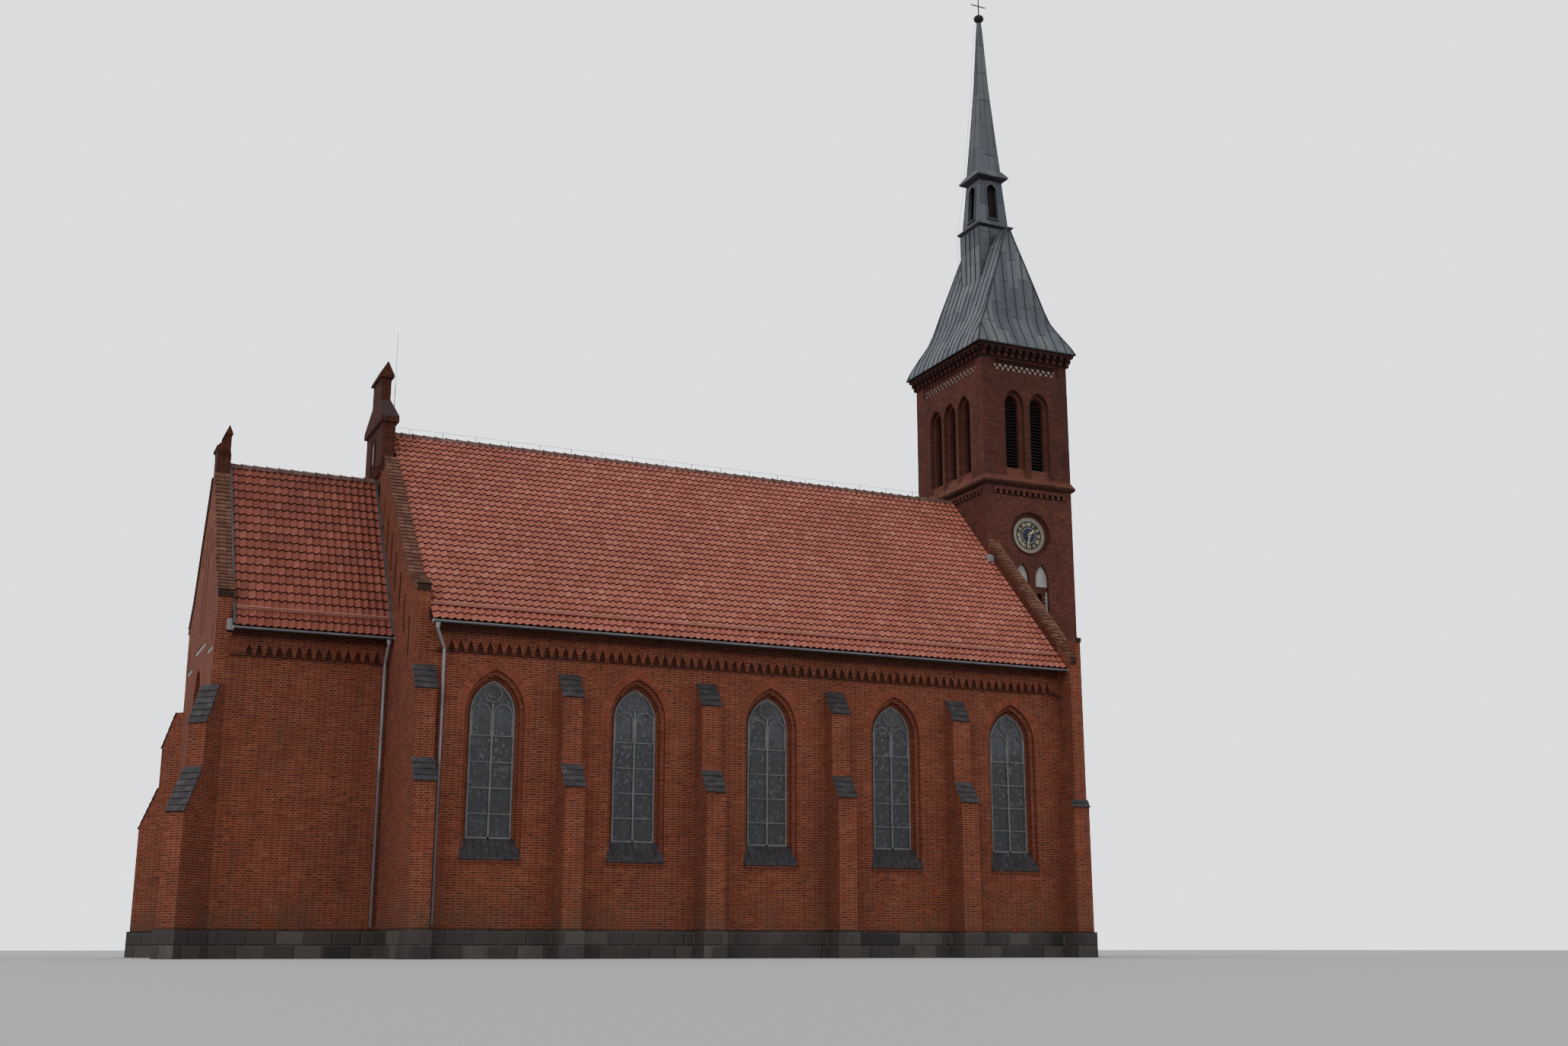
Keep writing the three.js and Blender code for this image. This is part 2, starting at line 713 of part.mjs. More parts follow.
function towerShaft() {
  const south = -tower.half;
  const hollow = prism('z', towerSection(tower.wall), plinth.top - reach, tower.shaftTop + reach);
  const tube = cut(prism('z', towerSection(0), plinth.top + seam, tower.shaftTop), hollow);
  const roundRecess = disc(clock.x, clock.z, clock.recess, south - reach, south + clock.recessDepth);
  const niches = blindNiche.centres.flatMap((x) => throughSouthAndNorth(
    pointedArch(x, blindNiche.width, blindNiche.bottom, blindNiche.spring, blindNiche.rise),
    south - reach, south + blindNiche.depth,
  ));
  const s = slitWindow;
  const loop = pointedArch(s.x, s.width, s.bottom, s.spring, s.rise, 3);
  const foot = plinth.top - reach;
  const toNave = pointedArch(0, towerArch.width, foot, towerArch.spring, towerArch.rise);
  const door = pointedArch(0, westDoor.width, foot, westDoor.spring, westDoor.rise);
  const doorRecess = pointedArch(0, westDoor.recess, foot, westDoor.spring, westDoor.recessRise);
  return cut(
    tube, roundRecess, solid(mirrored(roundRecess)), niches,
    prism('y', loop, south - reach, south + tower.wall + reach),
    prism('x', toNave, tower.east - reach, tower.east + tower.wall + reach),
    prism('x', door, tower.west - tower.wall - reach, tower.west + reach),
    prism('x', doorRecess, tower.west - westDoor.recessDepth, tower.west + reach),
  );
}

// The recess, opening and sloping sill of a lancet, drawn on a wall that faces south at y = face.
function lancetCutter(centre, face) {
  const l = lancet;
  const recess = pointedArch(centre, l.recess, l.sillOuter, l.spring, l.recessRise);
  const opening = pointedArch(centre, l.opening, l.bottom, l.spring, l.rise);
  const cutter = join(
    prism('y', recess, face - reach, face + l.recessDepth),
    prism('y', opening, face - reach, face + tower.belfryWall + reach),
  );
  const sill = [
    [face - 2 * reach, l.sillOuter - reach], [face + l.recessDepth + reach, l.sillOuter - reach],
    [face + l.recessDepth, l.bottom], [face, l.sillOuter], [face - 2 * reach, l.sillOuter],
  ];
  return cut(cutter, prism('x', sill, centre - l.recess, centre + l.recess));
}

// Cutters for a wall at the tower's east face, and their copies on the west face.
function eastLancets() {
  const face = -(tower.west - tower.east) / 2;
  return [-1, 0, 1].flatMap((i) => {
    const cutter = geometryOf(lancetCutter(i * lancet.eastPitch, face));
    const east = cutter.clone().rotateZ(-Math.PI / 2).translate(towerX, 0, 0);
    const west = cutter.clone().rotateZ(Math.PI / 2).translate(towerX, 0, 0);
    return [solid(east), solid(west)];
  });
}

function southLancets() {
  return [-0.5, 0.5].flatMap((i) => {
    const cutter = lancetCutter(towerX + i * lancet.southPitch, -tower.half);
    return [cutter, solid(mirrored(cutter))];
  });
}

function latticePanels() {
  const { bottom, top, depth, marginX, marginY } = latticePanel;
  const alongX = rectangle(tower.east + marginX, tower.west - marginX, bottom, top);
  const south = prism('y', alongX, -tower.half - reach, -tower.half + depth);
  const alongY = rectangle(-tower.half + marginY, tower.half - marginY, bottom, top);
  return [
    south, solid(mirrored(south)),
    prism('x', alongY, tower.east - reach, tower.east + depth),
    prism('x', alongY, tower.west - depth, tower.west + reach),
  ];
}

function towerBelfry() {
  const foot = tower.shaftTop + seam;
  const s = stringCourse;
  const around = (z, out) => [z, (tower.west - tower.east) / 2 + out, tower.half + out];
  const band = towerRings([
    around(foot, 0), around(s.corbelTop, s.proud), around(s.lipTop, s.proud), around(s.top, 0),
  ]);
  const crown = towerCornice.map(({ bottom, proud }) => (
    towerRings([around(bottom, proud), around(tower.eave, proud)])
  ));
  const mass = join(prism('z', towerSection(0), foot, tower.eave), band, crown);
  const hollow = prism('z', towerSection(tower.belfryWall), foot - reach, tower.eave + reach);
  return cut(mass, hollow, southLancets(), eastLancets(), latticePanels());
}

function belfryLouvres() {
  const outer = tower.belfryWall + seam;
  return cut(
    prism('z', towerSection(outer), louvre.bottom, louvre.top),
    prism('z', towerSection(outer + louvre.thick), louvre.bottom - reach, louvre.top + reach),
  );
}

function belfryFloor() {
  const foot = tower.shaftTop + seam;
  return prism('z', towerSection(tower.belfryWall + seam), foot, foot + belfryFloorThick);
}

function westDoorLeaf() {
  const w = westDoor;
  const x1 = tower.west - w.recessDepth - w.leafBack;
  const outline = pointedArch(0, w.width - 2 * seam, plinth.top + seam, w.spring, w.rise - seam);
  return prism('x', outline, x1 - w.leaf, x1);
}

function doorSteps() {
  const x0 = tower.west + plinth.proud + seam;
  const top = plinth.top;
  const outline = [[x0, 0]];
  for (let i = 0; i < steps.count; i += 1) {
    const level = top - (steps.count - i) * steps.rise + steps.rise;
    const x = x0 + (steps.count - i) * steps.tread;
    outline.push([x, i === 0 ? 0 : level - steps.rise], [x, level]);
  }
  outline.push([x0, top]);
  return prism('y', outline, -steps.width / 2, steps.width / 2);
}

// Tower roof and spire

function towerRoof() {
  const lifted = roofSection.map(([z, halfX, halfY]) => [z + seam, halfX, halfY]);
  const inside = roofSection
    .filter(([, halfX]) => halfX > 2 * roofShell)
    .map(([z, halfX, halfY]) => [z - reach, halfX - roofShell, halfY - roofShell]);
  const hole = shaft.half + seam;
  const socket = squareRings([[shaft.foot - reach, hole], [shaft.top, hole]]);
  return cut(towerRings(lifted), towerRings(inside), socket);
}

function roofShaft() {
  const { half, foot, top, collar, collarThick, collarEdge, lid } = shaft;
  const inner = half - lid;
  const collarRings = [
    [top - collarThick, half], [top - collarEdge, collar], [top + collarEdge, collar],
    [top + collarThick, lantern.foot],
  ];
  return cut(
    join(squareRings([[foot, half], [top, half]]), squareRings(collarRings)),
    squareRings([[foot - reach, inner], [top - lid, inner]]),
  );
}

function lanternStage() {
  const l = lantern;
  const foot = shaft.top + shaft.collarThick + seam;
  const shell = cut(
    squareRings([[foot, l.foot], [l.top, l.head]]),
    squareRings([[foot - reach, l.foot - l.wall], [l.top - l.roof, l.head - l.wall]]),
  );
  const alongY = pointedArch(towerX, l.opening, l.bottom, l.spring, l.rise, 4);
  const alongX = pointedArch(0, l.opening, l.bottom, l.spring, l.rise, 4);
  const far = l.foot + reach;
  return cut(shell, prism('y', alongY, -far, far), prism('x', alongX, towerX - far, towerX + far));
}

// The boarded core round the spire's post, from the shaft's lid to the lantern's roof.
function lanternCore() {
  const l = lantern;
  const foot = shaft.top + shaft.collarThick + seam;
  return squareRings([[foot, l.coreFoot], [l.top - l.roof - seam, l.coreHead]]);
}

function spireWithCollar() {
  const u = upperCollar;
  const foot = lantern.top + seam;
  const lip = foot + u.thick;
  return squareRings([[foot, lantern.head], [lip, u.half], [lip + u.edge, u.half], ...spire]);
}

function finialCross() {
  const f = finial;
  const ball = new THREE.SphereGeometry(f.ball, 16, 10);
  ball.rotateX(Math.PI / 2).scale(1, 1, f.ballHigh / f.ball).translate(towerX, 0, f.ballZ);
  const rodFoot = spire[spire.length - 1][0] + seam;
  const rod = new THREE.CylinderGeometry(f.rod, f.rod, f.top - rodFoot, 8);
  rod.rotateX(Math.PI / 2).translate(towerX, 0, (f.top + rodFoot) / 2);
  const half = f.bar / 2;
  return join(
    solid(ball), solid(rod),
    block(towerX - f.arm, towerX + f.arm, -half, half, f.armZ - half, f.armZ + half),
    block(towerX - half, towerX + half, -half, half, f.ballZ, f.top),
  );
}

// Clock

function clockFace() {
  return -tower.half + clock.recessDepth - seam;
}

function clockDial() {
  const c = clock;
  const profile = [
    [0, 0], [c.dial, 0], [c.dial, c.face + c.ring], [c.dial - c.ringWidth, c.face + c.ring],
    [c.dial - c.ringWidth, c.face], [c.arbor, c.face], [c.arbor, c.arborLength], [0, c.arborLength],
  ].map(([r, out]) => new THREE.Vector2(r, -out));
  const geometry = new THREE.LatheGeometry(profile, 48);
  geometry.translate(c.x, clockFace(), c.z);
  return solid(geometry);
}

// A tapering hand on its hub, turned clockwise from twelve as seen from the south.
function clockHand(length, width, turn, back) {
  const front = back - hand.thick;
  const neck = (width * hand.neck) / 2;
  const shoulderOut = length * hand.shoulder;
  const blade = [[-neck, 0], [neck, 0], [width / 2, shoulderOut], [0, length], [-width / 2, shoulderOut]];
  const tail = rectangle(-neck, neck, -length * hand.tail, 0);
  const flat = join(
    prism('y', blade, front, back), prism('y', tail, front, back), disc(0, 0, clock.hub, front, back, 24),
  );
  const geometry = geometryOf(cut(flat, disc(0, 0, clock.hubHole, front - reach, back + reach, 24)));
  geometry.rotateY(turn);
  geometry.translate(clock.x, 0, clock.z);
  return solid(geometry);
}

function hourHand() {
  const turn = ((clock.hour + clock.minute / 60) / 12) * 2 * Math.PI;
  const back = clockFace() - clock.face - clock.ring - clock.handGap;
  return clockHand(hand.hourLength, hand.hourWidth, turn, back);
}

function minuteHand() {
  const turn = (clock.minute / 60) * 2 * Math.PI;
  const back = clockFace() - clock.face - clock.ring - hand.thick - 2 * clock.handGap;
  return clockHand(hand.minuteLength, hand.minuteWidth, turn, back);
}

// Gutters

function gutterWithPipe(part, from, to, outletX, pipeX) {
  const g = gutter;
  const y = -part.eaveOut - g.radius - seam;
  const rim = part.eaveZ - g.drop;
  const arc = (radius) => Array.from({ length: g.facets + 1 }, (_, i) => {
    const angle = Math.PI + (Math.PI * i) / g.facets;
    return [y + radius * Math.cos(angle), rim + radius * Math.sin(angle)];
  });
  const section = [...arc(g.radius), ...arc(g.radius - g.thick).reverse()];
  const channel = prism('x', section, from + seam, to - seam);
  const wallY = -part.half - frieze.proud - downpipe.offWall;
  const outlet = rim - g.radius + g.thick / 2;
  const stops = [
    [outletX, y, outlet], [outletX, y, outlet - downpipe.neckDrop],
    [pipeX, wallY, outlet - downpipe.neckLand], [pipeX, wallY, downpipe.foot],
  ];
  return join(channel, tube(stops.map((stop) => roundRing(stop, downpipe.radius))));
}

function roundRing([x, y, z], radius, corners = 8) {
  return Array.from({ length: corners }, (_, i) => {
    const angle = (2 * Math.PI * (i + 0.5)) / corners;
    return [x + radius * Math.cos(angle), y + radius * Math.sin(angle), z];
  });
}

// Rings of points, each with as many corners as the next, joined into a closed pipe from top to foot.
function tube(rings) {
  const count = rings[0].length;
  const index = [];
  for (let k = 0; k + 1 < rings.length; k += 1) {
    for (let i = 0; i < count; i += 1) {
      const a = k * count + i;
      const b = k * count + ((i + 1) % count);
      index.push(a, a + count, b + count, a, b + count, b);
    }
  }
  const last = (rings.length - 1) * count;
  for (let i = 1; i + 1 < count; i += 1) {
    index.push(0, i, i + 1, last, last + i + 1, last + i);
  }
  const geometry = new THREE.BufferGeometry();
  geometry.setAttribute('position', new THREE.Float32BufferAttribute(rings.flat(2), 3));
  geometry.setIndex(index);
  return solid(geometry);
}

// The whole building

const brick = finish(colours.brick);
const towerBrick = finish(colours.towerBrick);
const fieldstone = finish(colours.fieldstone, 0.95);
const copingBrick = finish(colours.coping);
const pantile = finish(colours.tile, 0.75);
const ridgeTile = finish(colours.ridge, 0.8);
const sheetMetal = finish(colours.sheet, 0.5, 0.6);
const zinc = finish(colours.zinc, 0.4, 0.8);
const leadedGlass = finish(colours.glass, 0.2);
const board = finish(colours.board, 0.85);
const flooring = finish(colours.floor, 0.8);
const stone = finish(colours.step, 0.9);
const dialFinish = finish(colours.dial, 0.5);
const gold = finish(colours.gold, 0.35, 0.9);
const doorWood = finish(colours.door, 0.7);
const iron = finish(colours.iron, 0.6, 0.7);

add('nave_plinth', navePlinth(), fieldstone);
add('chancel_plinth', chancelPlinth(), fieldstone);
add('tower_plinth', towerPlinth(), fieldstone);
add('nave_floor', floorSlab(nave.east, nave.west, nave), flooring);
const chancelFloorEnd = chancelPlinthEnd - plinth.rim + chancel.wall;
add('chancel_floor', floorSlab(chancel.east, chancelFloorEnd, chancel), flooring);
add('tower_floor', floorSlab(tower.east, tower.west, tower), flooring);

addPair('nave_wall', naveSideWall(), brick);
add('nave_east_gable', naveEastGable(), brick);
addPair('nave_west_gable', naveWestShoulder(), brick);
addPair('chancel_wall', sideWall(chancel, chancel.east + chancel.wall + seam, chancel.west - seam), brick);
add('chancel_east_gable', chancelEastGable(), brick);

windowCentres().forEach((x, i) => {
  addPair(`nave_window_${i + 1}`, windowPane(x, -nave.half), leadedGlass);
});
add('chancel_window', turnedEast(windowPane(0, chancel.east, eastWindow.lift)), leadedGlass);

const naveRoofEast = nave.east + nave.parapet;
const chancelRoofEast = chancel.east + chancel.parapet;
addPair('nave_roof', roofSlope(nave, naveRoofEast, tower.east), pantile);
addPair('chancel_roof', roofSlope(chancel, chancelRoofEast, chancel.west), pantile);
add('nave_ridge', ridgeTiles(nave, naveRoofEast, tower.east), ridgeTile);
add('chancel_ridge', ridgeTiles(chancel, chancelRoofEast, chancel.west), ridgeTile);
addPair('nave_east_coping', eastCoping(nave, navePinnacle.rings[0][3] + seam), copingBrick);
addPair('nave_west_coping', shoulderCoping(), copingBrick);
addPair('chancel_coping', eastCoping(chancel, chancelPinnacle.rings[0][3] + seam), copingBrick);
const navePipeX = nave.east + buttress.width + downpipe.fromPier;
const chancelPipeX = chancel.west - downpipe.fromEnd;
addPair(
  'nave_gutter',
  gutterWithPipe(nave, naveRoofEast, tower.east, naveRoofEast + downpipe.fromEnd, navePipeX), zinc,
);
addPair(
  'chancel_gutter',
  gutterWithPipe(chancel, chancelRoofEast, chancel.west, chancelPipeX, chancelPipeX), zinc,
);

add('tower_shaft', towerShaft(), towerBrick);
add('tower_belfry', towerBelfry(), towerBrick);
add('belfry_floor', belfryFloor(), board);
add('belfry_louvres', belfryLouvres(), board);
add('west_door', westDoorLeaf(), doorWood);
add('west_steps', doorSteps(), stone);

add('tower_roof', towerRoof(), sheetMetal);
add('roof_shaft', roofShaft(), sheetMetal);
add('lantern', lanternStage(), sheetMetal);
add('lantern_core', lanternCore(), board);
add('spire', spireWithCollar(), sheetMetal);
add('finial_cross', finialCross(), iron);

add('clock_dial', clockDial(), dialFinish);
add('hour_hand', hourHand(), gold);
add('minute_hand', minuteHand(), gold);

export default church;
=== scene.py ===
import math

import bmesh
import bpy
from mathutils import Matrix, Vector


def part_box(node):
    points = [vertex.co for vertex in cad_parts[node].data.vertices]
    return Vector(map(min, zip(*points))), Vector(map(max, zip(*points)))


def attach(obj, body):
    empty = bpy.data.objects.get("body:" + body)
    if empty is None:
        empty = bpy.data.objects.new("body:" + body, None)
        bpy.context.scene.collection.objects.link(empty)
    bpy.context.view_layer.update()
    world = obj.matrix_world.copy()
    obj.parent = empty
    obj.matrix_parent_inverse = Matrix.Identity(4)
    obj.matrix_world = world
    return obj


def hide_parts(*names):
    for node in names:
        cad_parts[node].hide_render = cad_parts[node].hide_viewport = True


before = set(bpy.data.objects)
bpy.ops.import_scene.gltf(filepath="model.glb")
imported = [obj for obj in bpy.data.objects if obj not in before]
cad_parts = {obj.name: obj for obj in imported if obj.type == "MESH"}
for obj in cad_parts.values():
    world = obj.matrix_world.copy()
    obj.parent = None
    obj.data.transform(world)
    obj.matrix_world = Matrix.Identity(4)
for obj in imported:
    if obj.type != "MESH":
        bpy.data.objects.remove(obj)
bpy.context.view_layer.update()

# The part is a 1:2 model. What follows is worked in the real building's metres, and settle halves it.
modelScale = 0.5
towerHalf = {"x": 2.0, "y": 2.7}
naveHalf, chancelHalf = 7.14, 3.70
naveEast, chancelEast = -10.89, -16.29  # where the faces of the two gables stand


def realBox(node):  # a node's lowest and highest corner at the real building's size
    low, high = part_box(node)
    return low / modelScale, high / modelScale


def roofPlane(node, eaveZ):  # the ends of a slope, how far its eave stands out, and its levels
    low, high = realBox(node)
    return {"east": low.x, "west": high.x, "eaveOut": -low.y, "eaveZ": eaveZ, "ridgeZ": high.z}


towerLow, towerHigh = realBox("tower_shaft")
towerX = (towerLow.x + towerHigh.x) / 2
naveRoof = roofPlane("nave_roof_south", 10.01)
chancelRoof = roofPlane("chancel_roof_south", 9.97)
bay = {"first": -8.28, "pitch": 4.66, "count": 5}
course = {"rise": 0.077, "joint": 0.012, "pair": 0.386, "stretcher": 0.66}


# Finishes

class Wire:  # a socket of a material's tree that Python's operators work on
    def __init__(self, tree, socket=None):
        self.tree = tree
        self.socket = socket

    def node(self, kind, settings, inputs, out=0):
        made = self.tree.nodes.new("ShaderNode" + kind)
        for key, value in settings.items():
            if key == "stops":
                self.setStops(made.color_ramp, value)
            else:
                setattr(made, key, value)
        for key, value in inputs.items():
            if isinstance(value, Wire):
                self.tree.links.new(value.socket, made.inputs[key])
            else:
                made.inputs[key].default_value = value
        return Wire(self.tree, made.outputs[out])

    def setStops(self, ramp, stops):
        while len(ramp.elements) < len(stops):
            ramp.elements.new(0.5)
        for element, (place, colour) in zip(ramp.elements, stops):
            element.position = place
            element.color = (*colour, 1)

    def math(self, operation, *values):
        return self.node("Math", {"operation": operation}, dict(enumerate(values)))

    def __add__(self, other):
        return self.math("ADD", self, other)

    def __sub__(self, other):
        return self.math("SUBTRACT", self, other)

    def __rsub__(self, other):
        return self.math("SUBTRACT", other, self)

    def __mul__(self, other):
        return self.math("MULTIPLY", self, other)

    def __truediv__(self, other):
        return self.math("DIVIDE", self, other)

    def __gt__(self, other):
        return self.math("GREATER_THAN", self, other)

    def __lt__(self, other):
        return self.math("LESS_THAN", self, other)

    def __abs__(self):
        return self.math("ABSOLUTE", self)

    __radd__ = __add__
    __rmul__ = __mul__

    def floor(self):
        return self.math("FLOOR", self)

    def cells(self):  # the whole number below, and how far past it
        whole = self.floor()
        return whole, self - whole

    def least(self, other):
        return self.math("MINIMUM", self, other)

    def most(self, other):
        return self.math("MAXIMUM", self, other)

    def toEdge(self):  # from a place between 0 and 1 to the nearer of the two
        return self.least(1 - self)

    def length(self, other):  # of the two legs of a right angle
        return self.math("SQRT", self * self + other * other)

    def swap(self, other, mask):  # this value, or the other where the mask is 1
        return self + (other - self) * mask

    def band(self, low, high):  # 0 at low, 1 at high, smooth between
        return self.node("MapRange", {"interpolation_type": "SMOOTHSTEP"}, {0: self, 1: low, 2: high})

    def parts(self):
        split = self.node("SeparateXYZ", {}, {0: self})
        outputs = split.socket.node.outputs
        return [Wire(self.tree, outputs[i]) for i in range(3)]

    def facing(self):  # the three parts of the way a face looks
        return self.node("NewGeometry", {}, {}, "True Normal").parts()

    def vector(self, x, y, z):
        return self.node("CombineXYZ", {}, {0: x, 1: y, 2: z})

    def scaled(self, factor):
        return self.node("VectorMath", {"operation": "SCALE"}, {0: self, 3: factor})

    def stretched(self, x, y, z):
        return self.node("VectorMath", {"operation": "MULTIPLY"}, {0: self, 1: (x, y, z)})

    def noise(self, scale, detail=3.0):
        return self.node("TexNoise", {}, {"Vector": self, "Scale": scale, "Detail": detail})

    def chance(self):  # one random value for each whole place
        return self.node("TexWhiteNoise", {}, {"Vector": self})

    def ramp(self, *stops):
        return self.node("ValToRGB", {"stops": stops}, {0: self})

    def tint(self, other, mask):  # this colour, or the other where the mask is 1
        other = other if isinstance(other, Wire) else (*other, 1)
        return self.node("Mix", {"data_type": "RGBA"}, {0: mask, 6: self, 7: other}, out=2)

    def darker(self, amount):  # a colour times a grey value
        grey = self.vector(amount, amount, amount)
        return self.node("VectorMath", {"operation": "MULTIPLY"}, {0: self, 1: grey})

    def bump(self, height, depth):
        return self.node("Bump", {}, {"Strength": 1.0, "Distance": depth, "Height": height})


def startFinish(name, roughness=0.8, metallic=0.0, specular=0.5):
    made = bpy.data.materials.new(name)
    made.use_nodes = True
    inputs = made.node_tree.nodes["Principled BSDF"].inputs
    inputs["Roughness"].default_value = roughness
    inputs["Metallic"].default_value = metallic
    inputs["Specular IOR Level"].default_value = specular
    spot = Wire(made.node_tree).node("TexCoord", {}, {}, "Object").scaled(1 / modelScale)  # in real metres
    return made, spot


def endFinish(made, colour, bump, roughness=None):
    inputs = made.node_tree.nodes["Principled BSDF"].inputs
    for name, wire in (("Base Color", colour), ("Normal", bump), ("Roughness", roughness)):
        if wire is not None:
            made.node_tree.links.new(wire.socket, inputs[name])
    return made


def wallPlace(spot):  # metres along a wall and up it, whatever way it faces
    x, y, z = spot.parts()
    nx, ny, nz = spot.facing()
    flat = abs(nz) > 0.94
    along = ((y * nx - x * ny) / nx.length(ny).most(0.001)).swap(x, flat)
    return along, z.swap(y, flat)


def archRing(across, up, arch):  # brick coordinates inside a ring of bricks on end round a pointed arch
    half = arch["width"] / 2
    radius = (half * half + arch["rise"] ** 2) / (2 * half)
    out = across + (radius - half)
    high = up - arch["spring"]
    reach = out.length(high)
    turn = high.math("ARCTAN2", high, out)
    inside = (reach > radius) * (reach < radius + arch["ring"]) * (high > 0)
    fromEdge = (reach - radius).least(radius + arch["ring"] - reach)
    return inside, turn * ((radius + arch["ring"] / 2) / course["rise"]), fromEdge


brickWear = {
    "ringLighter": 0.16, "ringRow": 3000, "cloud": 0.45, "speckle": 28, "speckleDepth": 0.28,
    "damp": (0.6, 2.4), "edge": 0.03, "tileRow": 0.085, "relief": 0.002,
    "darkTiles": [(0.0, (0.012, 0.008, 0.008)), (1.0, (0.070, 0.042, 0.038))],
}


def brickFinish(name, look):
    wear = brickWear
    made, spot = startFinish(name, look["roughness"], specular=0.25)
    along, up = wallPlace(spot)
    x, y, z = spot.parts()
    nx, ny, nz = spot.facing()
    row, fromBed = (up / course["rise"]).cells()
    pair, place = (along / course["pair"] + row * 0.5).cells()
    header = place > course["stretcher"]
    ends = place.toEdge().least(abs(place - course["stretcher"])) * course["pair"]
    brick = pair * 2 + header
    ringed = x * 0
    for arch in look["arches"]:  # rings of bricks on end round the windows and openings
        across, facing = (x, ny) if arch["face"] == "y" else (y, nx)
        across = across - arch["first"]
        if "pitch" in arch:
            across = ((across / arch["pitch"] + 0.5).cells()[1] - 0.5) * arch["pitch"]
        inside, turn, fromEdge = archRing(abs(across), z, arch)
        inside = inside * (abs(facing) > 0.9)
        if "span" in arch:
            low, high = arch["span"]
            inside = inside * (x > low) * (x < high)
        ringed = ringed.most(inside)
        stone, fromStone = turn.cells()
        fromBed = fromBed.swap(fromStone, inside)
        ends = ends.swap(fromEdge, inside)
        row = row.swap(stone + wear["ringRow"], inside)
        brick = brick.swap(x.floor(), inside)
    gap = (fromBed.toEdge() * course["rise"]).least(ends)
    mortar = 1 - gap.band(course["joint"] * 0.32, course["joint"] * 0.68)
    chance = spot.vector(brick, row, nx.math("ROUND", nx * 2)).chance()
    colour = chance.ramp(*look["tones"]).darker(1 + ringed * wear["ringLighter"])
    colour = colour.darker(0.90 + spot.noise(wear["cloud"], 4).band(0.3, 0.7) * 0.18)
    speckle = spot.noise(wear["speckle"], 2)
    colour = colour.darker(1 - wear["speckleDepth"] / 2 + speckle * wear["speckleDepth"])
    joint = spot.noise(2.2, 3).ramp((0.35, look["mortar"][0]), (0.65, look["mortar"][1]))
    colour = colour.tint(joint, mortar * look["jointStrength"])
    soot = spot.stretched(1, 1, 0.28).noise(1.4, 5).band(0.48, 0.72) * look["soot"]
    colour = colour.tint(look["sootColour"], soot)
    damp = (1 - z.band(*wear["damp"])) * spot.noise(1.1, 4).band(0.35, 0.65) * look["damp"]
    colour = colour.tint(look["dampColour"], damp)
    for zone in look["zones"]:  # painted shade in recesses, under ledges and between teeth, and plain darkening higher up; a negative amount paints light
        foot, top = zone["foot"], zone["top"]
        inside = z.band(foot - zone.get("fade", wear["edge"]), foot) * (1 - z.band(top, top + wear["edge"]))
        for value, side in ((x, "x"), (abs(y), "y")):
            if side in zone:
                low, high = zone[side]
                inside = inside * (value > low) * (value < high)
        colour = colour.darker(1 - inside * zone["shadeAndDirt"])
    if "tiledAbove" in look:  # slopes laid with dark tiles in short courses
        topSide = (z > look["tiledAbove"]) * (nz > 0.2)
        short = (z / wear["tileRow"]).cells()[1].band(0.0, 0.35)
        colour = colour.tint((short * 0.6 + speckle * 0.5).ramp(*wear["darkTiles"]), topSide)
    height = gap.band(0.001, 0.008) + speckle * 0.25 + chance * 0.2
    roughness = look["roughness"] + speckle * 0.12 - mortar * 0.02
    return endFinish(made, colour, spot.bump(height, wear["relief"]), roughness)


def underEaves(half, east, west):  # painted shade in the frieze's openings, at the feet of its pendants and on the cornice under the gutter
    span = {"x": (east, west)}
    return [
        {**span, "foot": 9.16, "top": 9.54, "fade": 0.14, "shadeAndDirt": 0.66, "y": (half - 0.03, half + 0.03)},
        {**span, "foot": 9.05, "top": 9.22, "shadeAndDirt": 0.35, "y": (half + 0.03, half + 0.07)},
        {**span, "foot": 9.72, "top": 10.2, "shadeAndDirt": 0.55, "y": (half + 0.09, half + 0.15)},
    ]


def belt(foot, top, shadeAndDirt, out, margin):  # painted shade between the teeth of a course round the tower
    reachX, reachY = towerHalf["x"] + out, towerHalf["y"] + out
    sideways = (0, towerHalf["y"] - margin)
    places = (
        {"x": (towerX - towerHalf["x"] + margin, towerX + towerHalf["x"] - margin),
         "y": (reachY - 0.01, reachY + 0.005)},
        {"x": (towerX - reachX - 0.005, towerX - reachX + 0.01), "y": sideways},
        {"x": (towerX + reachX - 0.01, towerX + reachX + 0.005), "y": sideways},
    )
    return [{"foot": foot, "top": top, "shadeAndDirt": shadeAndDirt, **place} for place in places]


def gableBand(east, top, half):  # painted shade in a gable's slits and the recessed band below them
    return {"foot": 9.0, "top": top, "shadeAndDirt": 0.85, "x": (east + 0.004, east + 0.11), "y": (0, half)}


naveBrickLook = {
    "roughness": 0.86, "jointStrength": 0.85, "soot": 0.16, "damp": 0.5,
    "tones": [
        (0.0, (0.106, 0.024, 0.012)), (0.15, (0.146, 0.031, 0.014)), (0.6, (0.172, 0.036, 0.016)),
        (0.9, (0.194, 0.043, 0.019)), (1.0, (0.235, 0.062, 0.030)),
    ],
    "mortar": [(0.34, 0.165, 0.112), (0.46, 0.26, 0.185)],
    "zones": [
        *underEaves(naveHalf, -10.24, 12.3),
        gableBand(naveEast, 14.2, 6.45),
        {"foot": 16.6, "top": 21.0, "fade": 0.4, "shadeAndDirt": 0.62},
        # painted shade on the east face of the west gable's parapet, above the tiles
        {"foot": 9.0, "top": 16.5, "shadeAndDirt": 0.45, "x": (12.3, 12.46), "y": (2.8, 7.2)},
    ],
    "tiledAbove": 16.2,
    "sootColour": (0.075, 0.032, 0.022), "dampColour": (0.085, 0.06, 0.035),
    "arches": [
        {"face": "y", "first": bay["first"], "pitch": bay["pitch"], "width": 1.9, "spring": 7.36,
         "rise": 1.32, "ring": 0.25, "span": (-10.0, 12.0)},
    ],
}
